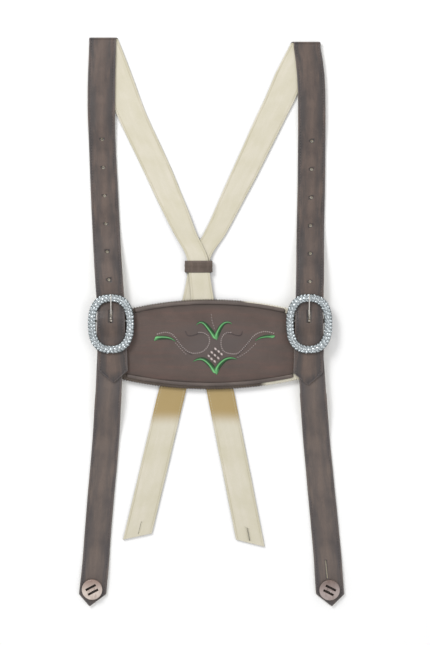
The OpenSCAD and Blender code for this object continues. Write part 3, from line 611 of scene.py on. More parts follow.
# %% Lower straps and their loops
for side in ("left", "right"):
    tab_low, tab_high = box_mm(f"buckle_tab_{side}")
    tail = f"front_tail_{side}"
    tail_low, tail_high = box_mm(f"{tail}_outer")
    lining_t = cut(f"{tail}_lining", 1, [-250])[3][0] - cut(f"{tail}_lining", 1, [-250])[2][0]
    outer_t = cut(f"{tail}_outer", 1, [-250])[3][0] - cut(f"{tail}_outer", 1, [-250])[2][0]
    bar_y = (box_mm(f"buckle_bar_{side}")[0][1] + box_mm(f"buckle_bar_{side}")[1][1]) / 2
    ys = np.concatenate([np.arange(bar_y - 4.2, -84, -2.6), np.arange(-84, -165, -1.6),
                         np.arange(-166, tail_low[1] + 17, -2.4),
                         np.linspace(tail_low[1] + 16, tail_low[1] + 0.06, 14)])
    layers = {}
    for layer, finish, z, t, fine in (("lining", cream, tab_low[2], lining_t, False),
                                      ("outer", low_brown, tab_low[2] + lining_t, outer_t, True)):
        course = course_of([f"buckle_tab_{side}", f"{tail}_{layer}"], ys)
        upper = ys > tab_low[1] - 1
        course["low"] = np.where(upper, z, course["low"])
        course["high"] = np.where(upper, z + t, course["high"])
        layers[layer] = course
        nodes = (f"{tail}_{layer}",) + ((f"buckle_tab_{side}",) if fine else ())
        made = strap_layer(f"lower_strap_{side}_{layer}_hide", course, finish, fine=fine,
                           crown=0.32 if fine else 0, crease=0.34 if fine else 0,
                           slot="brown_leather" if fine else "lining_leather")
        button_x, button_y, _ = sum(box_mm(f"button_washer_{side}")) / 2
        slits = [(button_x - 3.9, button_y + 26, -0.105, 1.3, 23)] if side == "right" and fine else []
        punch(made, [(button_x, button_y)], 5.3, -1, 30, slits)
        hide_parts(*nodes)
        hides[f"lower_{side}_{'brown' if fine else 'cream'}"] = (made, course)
        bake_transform(made)
    stitches = seam(layers["outer"], lift=-0.02, skip=[(bar_y - 12, 20)])
    piece(f"lower_strap_{side}_edge_seams", stitches, dark_thread,
          bend=("front", f"front_tail_{side}", (0, -0.086, 0.0098), (0, -0.112, 0.0098)))
    bar_low, bar_high = box_mm(f"buckle_bar_{side}")
    bar = (bar_low + bar_high) / 2
    a = np.linspace(0, 2 * np.pi, 28, endpoint=False)[:, None]
    loops = []
    for x0, x1 in ((tab_low[0] + 3, bar[0] - 3.1), (bar[0] + 3.1, tab_high[0] - 3)):
        x = np.array([x0 + 0.3, x1 - 0.3, x1, x1, x0, x0])
        r = np.array([3.15, 3.15, 2.9, 1.65, 1.65, 2.9])
        loops.append(skin(np.stack([x + 0 * a, bar[1] + r * np.cos(a), bar[2] + r * np.sin(a)], -1), ring=True))
    piece(f"bar_loops_{side}", together(*loops), low_brown, slot="brown_leather", body="front",
          inset=np.full(len(a) * 12, 9.0))

# %% [markdown]
# ### Keeper
#
# A short sleeve of thin leather holds the two back straps where they cross. It has been
# pulled about for years, so it is ribbed and its lower edge bulges.

# %% Keeper round the crossing
def keeper_grid(low, high, wall=1.15):
    """A sleeve: round it, each point lies on a rounded box |x/a|^9 + |z/b|^9 = 1, and the columns
    go along the outside, over the edge and back inside. Ribs: 0.18 sin(3 turns along Y)."""
    a = np.linspace(0, 2 * np.pi, 96, endpoint=False)[:, None]
    middle, half = (low + high) / 2, (high - low) / 2
    v = np.concatenate([np.linspace(-1, 1, 17), np.linspace(1, -1, 7)])
    out = np.concatenate([np.zeros(17), np.full(7, wall)])
    out[[0, 16]] = 0.35
    rib = np.where(out < 0.4, 0.16 * np.sin(v * 7.5) - 0.16, 0)
    power = 2 / 9
    c, s = np.cos(a), np.sin(a)
    x = middle[0] + np.sign(c) * abs(c) ** power * (half[0] - out + rib)
    z = middle[2] + np.sign(s) * abs(s) ** power * (half[2] - out + rib)
    sag = np.where(v < 0, 0.8 * np.cos(a) ** 2 * v ** 4, 0)
    y = middle[1] + v * half[1] - sag * -0.5 + 0 * a
    return np.stack([x, y, z], -1), v


sleeve, v = keeper_grid(*box_mm("crossing_keeper"))
piece("keeper_sleeve", skin(sleeve, ring=True), keeper_brown, slot="brown_leather", body="keeper",
      stands_for=("crossing_keeper",), uv=sleeve[..., :2] / 1000,
      inset=np.broadcast_to((1 - abs(v)) * 7.5, sleeve.shape[:2]))

# %% [markdown]
# ## Chest plate
#
# The plate is soft leather over a stiffer backing whose edge is pinked into small teeth. A
# rolled piping finishes its top and bottom. The leather could be a flat lens, but the real one
# is a little padded and ripples where it is sewn, so its height is a formula over the lens.

# %% Plate, pinked backing and piping
def ripple(x, y, size, seed):
    """Soft unevenness: five waves with set directions, lengths near size, added together."""
    spin = np.random.default_rng(seed)
    total = 0
    for _ in range(5):
        angle, length, start = spin.uniform(0, np.pi), size * spin.uniform(0.6, 1.8), spin.uniform(0, 6.3)
        total = total + np.sin((x * np.cos(angle) + y * np.sin(angle)) * 2 * np.pi / length + start)
    return total / 5


def lens(node, xs, cols, puff=0.0, soft=0.0):
    """A sheet between the low and high ends of a node's cuts at each X. Its top is raised by
    puff * (1 - s^4), where s runs from -1 at the low edge to 1 at the high one, and rippled."""
    y0, y1, z0, z1 = cut(node, 0, xs)
    s = np.sin(np.linspace(-np.pi / 2, np.pi / 2, cols))[None, :]
    y = (y0 + y1)[:, None] / 2 + s * (y1 - y0)[:, None] / 2
    x = xs[:, None] + 0 * s
    clear = np.clip((104 - abs(x + 2.3)) / 12, 0, 1)
    top = z1.max() + clear * (puff * (1 - s ** 4) + soft * (1 - s ** 4) * ripple(x, y, 38, 3))
    top = top - 0.35 * (abs(s) > 0.9999)
    bottom = z0.min() + 0 * top
    grid = np.concatenate([np.stack([x, y, top], -1), np.stack([x, y, bottom], -1)[:, ::-1]], 1)
    inset = np.minimum(y - y0[:, None], y1[:, None] - y)
    return grid, np.concatenate([inset, inset[:, ::-1]], 1)


low, high = box_mm("chest_plate_leather")
plate_z = high[2]
motif_low, motif_high = box_mm("embroidery_leaves")
motif = (motif_low + motif_high) / 2
grid, inset = lens("chest_plate_leather", np.linspace(low[0] + 0.1, high[0] - 0.1, 190), 64, puff=0.5, soft=0.22)
halo = np.exp(-(((grid[..., 0] - motif[0]) / 50) ** 2 + ((grid[..., 1] + 29) / 24) ** 2) ** 1.5)
plate = piece("chest_plate_front_hide", skin(grid), plate_brown, slot="plate_leather", body="front",
              stands_for=("chest_plate_leather",), uv=grid[..., [1, 0]] / 1000, inset=inset, shade=halo * 0.75)
low, high = box_mm("chest_plate_backing")
grid, inset = lens("chest_plate_backing", np.arange(low[0] + 0.2, high[0] - 0.2, 0.43), 10)
x, y = grid[..., 0], grid[..., 1]
pale = np.clip((x - 38) / 8, 0, 1) * (y > -30) + np.clip((x - 62) / 8, 0, 1) * (y < -30)
piece("chest_plate_pinked_backing", skin(grid), backing_brown, slot="backing_leather", body="front",
      stands_for=("chest_plate_backing",), uv=grid[..., [1, 0]] / 1000, inset=inset, shade=pale)


def roll(node, seed):
    """A piping: round a centre line that follows the node's cuts, with radius r (1 + wrinkles),
    flattened underneath: z = low + max(0, 0.3 + sin a) / 1.3 * height."""
    low, high = box_mm(node)
    xs = np.linspace(low[0] + 0.8, high[0] - 0.8, 420)
    y0, y1, z0, z1 = cut(node, 0, xs)
    a = np.linspace(-np.pi / 2, 1.5 * np.pi, 20, endpoint=False)[None, :]
    along = xs[:, None]
    wrinkle = 0.035 * ripple(along, 7 * np.cos(a), 4.5, seed) + 0.03 * ripple(along, 3 * np.cos(a), 14, seed + 1)
    end = np.clip((np.minimum(xs - xs[0], xs[-1] - xs) + 0.2) / 1.6, 0.05, 1)[:, None] ** 0.5
    half = (y1 - y0)[:, None] / 2 * end
    y = (y0 + y1)[:, None] / 2 + half * np.cos(a) * (1 + wrinkle)
    z = low[2] + np.clip(0.25 + np.sin(a), 0, 2) / 1.25 * (high[2] - low[2]) * end * (1 + wrinkle - 0.03)
    return np.stack([along + 0 * y, y, z], -1)


piping_brown = leather("rolled_piping_leather", [(0, "5b504b"), (20, "5f544f")], "73665e", "453c38", grain=0.8,
                       rough=0.42, bump=0.5)
for name, seed in (("piping_top", 11), ("piping_bottom", 23)):
    grid = roll(name, seed)
    piece(f"{name}_roll", skin(grid), piping_brown, slot="piping_leather", body="front", stands_for=(name,),
          uv=grid[..., [1, 0]] / 1000, inset=np.full(grid.shape[:2], 10.0))

# %% [markdown]
# ## Embroidery
#
# The motif is worked in silk: green leaves in padded satin stitch, where threads lie side by
# side across the leaf and shine along its middle, and pale scrolls of single short stitches.
# It could be drawn as a colour on the plate, but thread stands up and catches light from the side, so each thread is
# its own small bar, arched over the padding. A number on each point paints light and shade into the silk's colour, so
# one finish gives both a painted shine and painted dark sides.

# %% Threads and the leaves
def plate_top(x, y):
    """Height of the plate's leather at x and y, by the same formula that made it."""
    y0, y1, _, z1 = cut("chest_plate_leather", 0, x)
    s = np.clip((y - (y0 + y1) / 2) / ((y1 - y0) / 2), -1, 1)
    clear = np.clip((104 - abs(x + 2.3)) / 12, 0, 1)
    return plate_z + clear * (1 - s ** 4) * (0.5 + 0.22 * ripple(x, y, 38, 3))


def bars(starts, ends, gauge, rise):
    """Threads from each start to each end: middle = start + (end - start) * t, lifted by
    rise * (1 - s^2) with s = 2t - 1, and radius = gauge / 2 * sqrt(1 - s^8). Returns the skin and s."""
    t, a = np.linspace(0, 1, 7), np.linspace(0, 2 * np.pi, 6, endpoint=False)
    s = 2 * t - 1
    way = ends - starts
    side = np.stack([-way[:, 1], way[:, 0], 0 * way[:, 0]], -1) / np.linalg.norm(way[:, :2], axis=1)[:, None]
    rise = np.broadcast_to(rise, (len(way),))
    middle = starts[:, None] + way[:, None] * t[:, None]
    middle[..., 2] += rise[:, None] * (1 - s ** 2)
    r = gauge / 2 * np.sqrt(1.02 - s ** 8)[None, :, None, None]
    round_ = side[:, None, None] * np.cos(a)[:, None] + np.array([0, 0, 1.0]) * np.sin(a)[:, None]
    points = (middle[:, :, None] + r * round_).reshape(-1, 3)
    pattern = skin(np.zeros((len(t), len(a), 3)))[1]
    faces = (pattern[None] + (np.arange(len(way)) * len(t) * len(a))[:, None, None]).reshape(-1, 4)
    return (points, faces), np.broadcast_to(s[None, :, None], (len(way), len(t), len(a))).ravel()


def smooth_line(points, step):
    """Points about step apart on a smooth curve through the given ones: halfway rounds of corner
    cutting, then even spacing by length. Also gives the curve's direction at each."""
    line = np.array(points, float)
    for _ in range(3):
        cuts = np.stack([0.75 * line[:-1] + 0.25 * line[1:], 0.25 * line[:-1] + 0.75 * line[1:]], 1).reshape(-1, 2)
        line = np.concatenate([line[:1], cuts, line[-1:]])
    far = np.concatenate([[0], np.cumsum(np.hypot(*np.diff(line, axis=0).T))])
    at = np.linspace(0, far[-1], max(2, int(far[-1] / step)))
    spots = np.stack([np.interp(at, far, line[:, k]) for k in (0, 1)], -1)
    return spots, np.gradient(spots, axis=0)


def on_plate(flat, lift=0.1):
    """Flat places of the motif, measured from its middle line, laid on the plate's leather."""
    x = flat[:, 0] + motif[0]
    return np.stack([x, flat[:, 1], plate_top(x, flat[:, 1]) + lift], -1)


def satin_leaf(spine, wide, bulb=0.0, pitch=0.42):
    """Threads side by side across a spine. Width = wide * sin(pi * t^0.6)^0.7 plus a bulb at the start, and the threads
    slant by 35 degrees. A painted highlight runs along the leaf, a little to one side of its middle, with painted shade
    on the rest, and the bulb at the start is lighter too."""
    spots, way = smooth_line(spine, pitch)
    t = np.linspace(0.02, 0.98, len(spots))
    width = wide * np.sin(np.pi * t ** 0.6) ** 0.7 + bulb * np.exp(-(t / 0.14) ** 2)
    way = way / np.linalg.norm(way, axis=1, keepdims=True)
    slant = np.radians(90 - 35)
    across = way * np.cos(slant) + np.stack([-way[:, 1], way[:, 0]], -1) * np.sin(slant)
    starts, ends = (on_plate(spots + sign * across * width[:, None] / 2) for sign in (-1, 1))
    shape, s = bars(starts, ends, 0.5, 0.12 * width)
    # Painted light: the "light" number puts a painted highlight along one side of each leaf's middle and painted shade
    # on the rest; the bulb at the start is lighter too.
    base = np.repeat(np.exp(-(t / 0.16) ** 2), len(s) // len(t))
    light = np.clip(0.95 * np.exp(-((s - 0.3) / 0.2) ** 2) + 0.6 * base, 0, 1)
    return shape, light


leaf_lines = [
    ([(0.6, -21.4), (-4.2, -13.5), (-8.9, -7.2), (-13.1, -2.4), (-17.3, -0.3), (-21.0, -1.1), (-23.6, -4.0)], 7.4, 1.6),
    ([(0.6, -21.4), (3.7, -13.5), (6.9, -7.2), (11.1, -2.4), (15.3, -0.9), (18.5, -1.1), (21.1, -3.0)], 7.4, 1.6),
    ([(0.6, -65.1), (-4.2, -56.7), (-8.9, -51.4), (-13.6, -48.0), (-18.4, -46.7), (-23.6, -47.7), (-27.8, -50.4)], 8.0, 2.0),
    ([(0.6, -65.1), (3.7, -57.7), (6.9, -53.5), (12.2, -48.8), (17.4, -46.7), (22.7, -46.4), (27.4, -47.7)], 8.0, 2.0),
    ([(-76.3, -21.4), (-70.0, -20.2), (-61.5, -20.3), (-55.2, -21.9), (-50.5, -25.0)], 6.2, 3.4),
    ([(74.8, -19.2), (69.0, -18.3), (62.7, -18.8), (56.4, -20.3), (51.2, -24.0)], 5.2, 1.6)]
leaves = [satin_leaf(*line) for line in leaf_lines]
points, faces = together(*(shape for shape, _ in leaves))
light = np.concatenate([tone for _, tone in leaves])


# %% [markdown]
# Silk is shiny along the thread. Here its highlight and shade are painted: a blend between a dark and a pale colour
# reads the lightness number, and a fine wave gives the twist.

# %% Silk
def silk(name, dark, pale, rough=0.38):
    """Silk floss with painted light and shade: the dark colour, a painted shade, where the point's "light" is 0, and
    the pale colour, a painted highlight, where it is 1.
    """
    finish, tree, shader = blank(name)
    where = add(tree, "ShaderNodeTexCoord").outputs["Object"]
    level = add(tree, "ShaderNodeAttribute", attribute_name="light").outputs["Fac"]
    uneven = add(tree, "ShaderNodeTexNoise", {"Vector": where, "Scale": 700.0, "Detail": 2.0})
    mixed = add(tree, "ShaderNodeMath", {0: uneven.outputs["Fac"], 1: 0.35, 2: level}, operation="MULTIPLY_ADD")
    centred = add(tree, "ShaderNodeMath", {0: mixed.outputs[0], 1: 0.17}, operation="SUBTRACT", use_clamp=True)
    tone = add(tree, "ShaderNodeMix", {0: centred.outputs[0], 6: paint(dark), 7: paint(pale)}, data_type="RGBA")
    plies = add(tree, "ShaderNodeTexWave", {"Vector": where, "Scale": 320.0, "Distortion": 2.0},
                bands_direction="DIAGONAL")
    relief = add(tree, "ShaderNodeBump", {"Height": plies.outputs["Fac"], "Strength": 0.25, "Distance": 0.00008})
    tree.links.new(tone.outputs[2], shader.inputs["Base Color"])
    tree.links.new(relief.outputs[0], shader.inputs["Normal"])
    shader.inputs["Roughness"].default_value = rough
    shader.inputs["Sheen Weight"].default_value = 0.15
    return finish


green_silk = silk("green_silk_floss", "0e4219", "7ccf83")
pale_silk = silk("pale_silk_floss", "8d7f7a", "d9ccc8")
dark_silk = silk("dark_silk_floss", "2b2124", "4a3c3e")
piece("satin_leaves", (points, faces), green_silk, slot="green_embroidery", body="front",
      stands_for=("embroidery_leaves",), light=light)

# %% [markdown]
# The scrolls are rows of short stitches that cross their line like the rungs of a ladder, and a
# dark cord is couched beside them. Between the four leaves nine ovals stand in a lattice.

# %% Scrolls, cords and lattice
scrolls = [
    [(-73.1, -15.6), (-63.6, -13.0), (-56.3, -14.6), (-51, -18.8), (-45.7, -27.2), (-38.4, -35.6), (-30, -40.4),
     (-19.4, -39.8), (-12, -35.6), (-6.8, -27.2), (-7.2, -18.8), (-13.0, -14.2), (-20.5, -13.6)],
    [(74.3, -14.6), (64.8, -11.9), (54.3, -14.0), (48, -18.8), (42.7, -26.1), (35.3, -34.6), (29, -40.9),
     (20.6, -40.9), (12.2, -39.0), (8.2, -34.0), (7.2, -25.1), (9.2, -18.0), (14.0, -14.0), (20.0, -13.8)]]
rungs = [[(-50, -27.2), (-42.6, -35.6), (-37.3, -40.9)], [(51.1, -28.2), (43.8, -35.6), (36.4, -41.4), (29, -45.1)],
         [(-4.7, 8.6), (-4.2, 2.3), (-2.6, -3.0), (-1.0, -8.2)]]
cords = [[(-37.5, -12.4), (-36.2, -17.0), (-32.0, -18.4), (-25.7, -16.9), (-20.5, -14.4), (-14.5, -15.0)],
         [(34.5, -12.8), (33.4, -17.0), (29.0, -18.2), (23.8, -16.4), (18.5, -14.4), (13.0, -15.0)],
         [(-50.0, -20.5), (-44.3, -29.0), (-37.0, -37.2), (-29.5, -42.0)],
         [(47.0, -20.6), (41.4, -28.2), (34.2, -36.5), (28.4, -42.6)],
         [(-6.2, -41.2), (-1.6, -45.0), (2.2, -48.6)], [(-2.2, -36.8), (2.2, -40.2), (6.2, -43.8)]]


def ladder(line, pitch, long, tilt, gauge=0.55):
    """Short stitches every pitch along a line, long each, turned by tilt from the line."""
    spots, way = smooth_line(line, pitch)
    way = way / np.linalg.norm(way, axis=1, keepdims=True)
    c, s = np.cos(np.radians(tilt)), np.sin(np.radians(tilt))
    across = np.stack([way[:, 0] * c - way[:, 1] * s, way[:, 0] * s + way[:, 1] * c], -1) * long / 2
    return bars(on_plate(spots - across, 0.2), on_plate(spots + across, 0.2), gauge, 0.18)


pale = [ladder(line, 2.5, 2.0, 62, 0.8) for line in scrolls] + [ladder(line, 2.6, 1.7, 62, 0.6) for line in rungs]
# Painted highlight: each stitch is lighter at the middle of its arch and painted darker towards its ends.
pale_light = [0.35 + 0.5 * np.exp(-(s / 0.6) ** 2) for _, s in pale]
oval_places = np.array([(0.6, -34.6), (4.6, -37.7), (8.2, -41.1), (-4.2, -39.0), (-0.2, -42.5), (4.0, -46.1),
                        (-8.0, -43.5), (-4.5, -47.2), (-0.5, -50.4)])
steps = np.linspace(-1, 1, 7)
long_way, short_way = np.array([-0.62, 0.78]), np.array([0.78, 0.62])
middles = (oval_places[:, None] + steps[:, None] * long_way * 1.9).reshape(-1, 2)
reach = np.tile(1.4 * np.sqrt(1.05 - steps ** 2), len(oval_places))[:, None] * short_way
ovals, s = bars(on_plate(middles - reach, 0.15), on_plate(middles + reach, 0.15), 0.55, 0.35)
pale.append((ovals, s))
# The ovals get a higher lightness, with the same painted highlight at the middle of each stitch.
pale_light.append(0.75 + 0.4 * np.exp(-(s / 0.7) ** 2))
piece("pale_scroll_stitches", together(*(shape for shape, _ in pale)), pale_silk, slot="pale_embroidery",
      body="front", stands_for=("embroidery_scrolls",), light=np.concatenate(pale_light))
dark = [ladder(line, 0.8, 1.5, 12, 0.6) for line in cords]
piece("dark_couched_cords", together(*(shape for shape, _ in dark)), dark_silk, slot="pale_embroidery",
      body="front", light=np.concatenate([0.3 + 0 * s for _, s in dark]))

# %% [markdown]
# ## Buckles
#
# Each buckle is cast white metal in the shape of a wreath, silvered and then darkened, so that
# the hollows stay nearly black and the worn tops shine. Carving a solid ring would need a very
# fine mesh. Instead a plain low ring carries three rows of small leaves, with berries between
# them and a beaded outer edge. Height above the ring drives the tarnish.

# %% Antique silver
def cast_silver(name, worn, hollow, rough=0.34):
    """Cast, silvered and tarnished metal: worn where "height" is near 1, dark where it is near 0."""
    finish, tree, shader = blank(name)
    where = add(tree, "ShaderNodeTexCoord").outputs["Object"]
    height = add(tree, "ShaderNodeAttribute", attribute_name="height").outputs["Fac"]
    specks = add(tree, "ShaderNodeTexNoise", {"Vector": where, "Scale": 420.0, "Detail": 5.0, "Roughness": 0.65})
    uneven = add(tree, "ShaderNodeMath", {0: specks.outputs["Fac"], 1: 0.5, 2: height}, operation="MULTIPLY_ADD")
    rubbed = add(tree, "ShaderNodeMapRange", {"Value": uneven.outputs[0], "From Min": 0.32, "From Max": 0.95})
    tone = add(tree, "ShaderNodeMix", {0: rubbed.outputs[0], 6: paint(hollow), 7: paint(worn)}, data_type="RGBA")
    dull = add(tree, "ShaderNodeMapRange", {"Value": rubbed.outputs[0], "To Min": 0.62, "To Max": rough})
    pits = add(tree, "ShaderNodeTexNoise", {"Vector": where, "Scale": 1500.0, "Detail": 3.0})
    relief = add(tree, "ShaderNodeBump", {"Height": pits.outputs["Fac"], "Strength": 0.35, "Distance": 0.0001})
    for socket, made in (("Base Color", tone.outputs[2]), ("Roughness", dull.outputs[0]), ("Normal", relief.outputs[0])):
        tree.links.new(made, shader.inputs[socket])
    shader.inputs["Metallic"].default_value = 1.0
    return finish


wreath_silver = cast_silver("antique_silver_casting", "c8cfd2", "5b6467")
prong_silver = cast_silver("worn_silver_prong", "e2ded8", "a9aaa8", rough=0.4)

# %% [markdown]
# The wreath's outline is between an oval and a rectangle: |x/a|^2.5 + |y/b|^2.5 = 1. Every leaf,
# berry and bead is placed on it by two numbers: how far round, and how far out from the inner
# edge to the outer one.

# %% Wreath, leaves and beads
rim_wide = 9.85


def round_the_rim(count, out, centre, size, shift=0.0):
    """Even places on the wreath: the outline at share out of the way from its inner edge to its
    outer one, sampled finely and read again at equal lengths. Gives places and directions."""
    a = np.linspace(-np.pi / 2, 1.5 * np.pi, 721)
    c, s = np.cos(a), np.sin(a)
    half = size / 2 - rim_wide * (1 - out)
    line = np.stack([half[0] * np.sign(c) * abs(c) ** 0.8, half[1] * np.sign(s) * abs(s) ** 0.8], -1)
    far = np.concatenate([[0], np.cumsum(np.hypot(*np.diff(line, axis=0).T))])
    at = (np.arange(count) + 0.5 + shift) / count * far[-1] % far[-1]
    spots, ahead = (np.stack([np.interp((at + h) % far[-1], far, line[:, k]) for k in (0, 1)], -1) for h in (0, 0.5))
    return spots + centre, ahead - spots


def leaf_skin(long=7.4, wide=4.3, thick=1.3):
    """A small leaf: along it the half width is wide / 2 * sin(pi t^0.8)^0.8; round it eight points,
    with the one on top raised as a midrib, and the tip curled up."""
    t, a = np.linspace(0.03, 0.97, 7)[:, None], np.linspace(0, 2 * np.pi, 8, endpoint=False)[None, :]
    w = wide / 2 * np.sin(np.pi * t ** 0.8) ** 0.8
    rib = 1 + 0.35 * (np.arange(8) == 2)
    x = (t - 0.5) * long + 0 * a
    z = thick * (0.55 * np.sin(a) * rib * np.sin(np.pi * t) ** 0.5 + 0.35 * np.sin(np.pi * t) + 0.25 * t ** 3)
    return skin(np.stack([x, w * np.cos(a), z], -1))


def berry_skin(r=0.85):
    """A ball: six points round and six up, from almost the bottom to almost the top."""
    b, a = np.linspace(-1.45, 1.45, 6)[:, None], np.linspace(0, 2 * np.pi, 8, endpoint=False)[None, :]
    return skin(np.stack([r * np.sin(b) + 0 * a, r * np.cos(b) * np.cos(a), r * np.cos(b) * np.sin(a)], -1))


for side in ("left", "right"):
    low, high = box_mm(f"buckle_frame_{side}")
    x0, x1, z0, z1 = cut(f"buckle_frame_{side}", 1, [high[1] - 3.0])
    size = (high - low)[:2]
    centre = (high + low)[:2] / 2
    rim_low, rim_top = float(z0[0]), high[2]
    spin = np.random.default_rng(5 if side == "left" else 9)
    a = np.linspace(0, 2 * np.pi, 144, endpoint=False)[:, None]
    section = np.array([(0.03, 0), (0.05, 0.3), (0.16, 0.5), (0.35, 0.6), (0.5, 0.62), (0.65, 0.6), (0.84, 0.5),
                        (0.95, 0.3), (0.97, 0), (0.8, 0), (0.5, 0), (0.2, 0)])
    half = size / 2 - rim_wide * (1 - section[:, :1])
    c, s = np.cos(a), np.sin(a)
    ring = np.stack([centre[0] + half[:, 0] * np.sign(c) * abs(c) ** 0.8,
                     centre[1] + half[:, 1] * np.sign(s) * abs(s) ** 0.8,
                     rim_low + (rim_top - rim_low) * section[:, 1] + 0 * c], -1)
    parts = [skin(ring, ring=True)]
    for count, out, lean, scale, raised in ((46, 0.78, -42, 0.84, 1.35), (40, 0.22, 42, 0.78, 1.35), (34, 0.5, 8, 0.9, 1.9)):
        spots, way = round_the_rim(count, out, centre, size, shift=out)
        right_side = spots[:, 0] > centre[0]
        way[~right_side] *= -1
        turn = np.radians(lean * np.where(right_side, 1, -1) + spin.uniform(-26, 26, count))
        way = np.stack([way[:, 0] * np.cos(turn) - way[:, 1] * np.sin(turn),
                        way[:, 0] * np.sin(turn) + way[:, 1] * np.cos(turn)], -1)
        way = way / np.linalg.norm(way, axis=1, keepdims=True)
        at = np.c_[spots, rim_low + raised + spin.uniform(-0.15, 0.15, count)]
        up = np.c_[spin.uniform(-0.3, 0.3, (count, 2)), np.ones(count)]
        parts.append(copies(leaf_skin(), at, np.c_[way, np.full(count, 0.12)], up, scale * spin.uniform(0.85, 1.1, count)))
    for count, out, scale, raised in ((34, 0.66, 0.85, 2.1), (30, 0.34, 0.8, 2.1), (80, 0.94, 1.0, 0.9), (50, 0.07, 0.75, 1.1)):
        spots, way = round_the_rim(count, out, centre, size, shift=0.3)
        spots = spots + spin.uniform(-0.4, 0.4, spots.shape) * (0.1 < out < 0.9)
        at = np.c_[spots, np.full(count, rim_low + raised)]
        parts.append(copies(berry_skin(), at, np.c_[0 * way, np.ones(count)], (1, 0, 0), scale * spin.uniform(0.9, 1.1, count)))
    points, faces = together(*parts)
    points[:, 2] = np.minimum(points[:, 2], rim_top + 0.2)
    piece(f"wreath_{side}", (points, faces), wreath_silver, slot="antique_silver", body=f"buckle_{side}",
          height=np.clip((points[:, 2] - rim_low - 0.9) / (rim_top - rim_low - 0.9), 0, 1))
    bar_low, bar_high = box_mm(f"buckle_bar_{side}")
    bar = (bar_low + bar_high) / 2
    posts = []
    for sign in (-1, 1):
        t = np.linspace(0, 2 * np.pi, 16, endpoint=False)[None, :]
        z = np.array([bar[2] - 2.4, bar[2] - 2.0, bar[2] + 1.5, rim_low + 0.6])[:, None]
        r = np.array([1.4, 1.9, 2.1, 2.6])[:, None]
        posts.append(skin(np.stack([bar[0] + sign * (bar_high[0] - bar[0] - 2.1) + r * np.cos(t) * 0.95,
                                    bar[1] + r * np.sin(t) * 1.2, z + 0 * t], -1)))
    made = piece(f"bar_posts_{side}", together(*posts), wreath_silver, slot="antique_silver", body=f"buckle_{side}",
                 stands_for=(f"buckle_frame_{side}",), height=np.full(len(posts[0][0]) * 2, 0.6))

# %% [markdown]
# The prong is drawn wire: an eye round the bar, a cranked shank that comes up through the
# strap, and a tapered point that rests on the top of the wreath.

# %% Prongs
for side in ("left", "right"):
    low, high = box_mm(f"prong_{side}")
    bar = sum(box_mm(f"buckle_bar_{side}")) / 2
    y = np.linspace(bar[1] + 1.6, high[1] - 0.6, 40)
    x0, x1, z0, z1 = cut(f"prong_{side}", 1, y)
    z = np.convolve(np.pad((z0 + z1) / 2, 4, mode="edge"), np.ones(9) / 9, "valid")
    z[:3] = bar[2] + 2.6
    t = np.linspace(0, 1, 40)
    r = (0.98 - 0.34 * t) * np.sqrt(np.clip(1.02 - t ** 14, 0.02, 1))
    a = np.linspace(0, 2 * np.pi, 12, endpoint=False)[None, :]
    shank = skin(np.stack([bar[0] + r[:, None] * np.cos(a), y[:, None] + 0 * a, z[:, None] + r[:, None] * np.sin(a)], -1))
    b = np.linspace(0, 2 * np.pi, 32, endpoint=False)[:, None]
    half = (high[0] - low[0]) / 2
    u = np.array([-1, -1, -0.7, 0, 0.7, 1, 1, 0.5, -0.5]) * half
    v = np.array([1.65, 2.4, 2.8, 2.88, 2.8, 2.4, 1.65, 1.62, 1.62])
    eye = skin(np.stack([bar[0] + u + 0 * b, bar[1] + v * np.cos(b), bar[2] + v * np.sin(b)], -1), ring=True)
    points, faces = together(shank, eye)
    piece(f"prong_wire_{side}", (points, faces), prong_silver, slot="antique_silver", body=f"prong_{side}",
          stands_for=(f"prong_{side}",), height=np.full(len(points), 0.8))

# %% [markdown]
# ## Horn buttons
#
# The buttons are turned from horn and polished: pale and faintly streaked, with a painted reflection that leaves them
# darker towards the top and paler below.
# The imported shape, with its two slots and hollow, is right as it is, so it stays and gets a
# finish of its own. A leather thong comes up through the slots and holds the button on.

# %% Horn, thongs and what stays from the imported model
def horn(name, centre, dark, pale, blush):
    """Polished horn: a pale body with long streaks, and a painted reflection that makes it darker towards the top and
    paler below.
    """
    finish, tree, shader = blank(name)
    where = add(tree, "ShaderNodeTexCoord").outputs["Object"]
    local = add(tree, "ShaderNodeMapping", {"Vector": where, "Location": tuple(-c / 1000 for c in centre)})
    leaned = add(tree, "ShaderNodeMapping", {"Vector": local.outputs[0], "Rotation": (0, 0, 0.6), "Scale": (1, 0.25, 1)})
    streaks = add(tree, "ShaderNodeTexNoise", {"Vector": leaned.outputs[0], "Scale": 420.0, "Detail": 5.0, "Roughness": 0.6})
    spot = add(tree, "ShaderNodeSeparateXYZ", {0: local.outputs[0]})
    # Painted reflection: the horn is darker towards the top and paler below, as the polish would reflect the light.
    painted_reflection_ramp = add(tree, "ShaderNodeMapRange", {"Value": spot.outputs["Y"], "From Min": -0.004, "From Max": 0.011})
    mixed = add(tree, "ShaderNodeMix", {0: painted_reflection_ramp.outputs[0], 6: paint(pale), 7: paint(dark)}, data_type="RGBA")
    banded = add(tree, "ShaderNodeMapRange", {"Value": streaks.outputs["Fac"], "From Min": 0.45, "From Max": 0.62,
                                              "To Max": 0.5})
    tone = add(tree, "ShaderNodeMix", {0: banded.outputs[0], 6: mixed.outputs[2], 7: paint(blush)}, data_type="RGBA")
    scratches = add(tree, "ShaderNodeTexNoise", {"Vector": leaned.outputs[0], "Scale": 2400.0, "Detail": 2.0})
    relief = add(tree, "ShaderNodeBump", {"Height": scratches.outputs["Fac"], "Strength": 0.12, "Distance": 0.0001})
    tree.links.new(tone.outputs[2], shader.inputs["Base Color"])
    tree.links.new(relief.outputs[0], shader.inputs["Normal"])
    shader.inputs["Roughness"].default_value = 0.28
    shader.inputs["IOR"].default_value = 1.54
    return finish


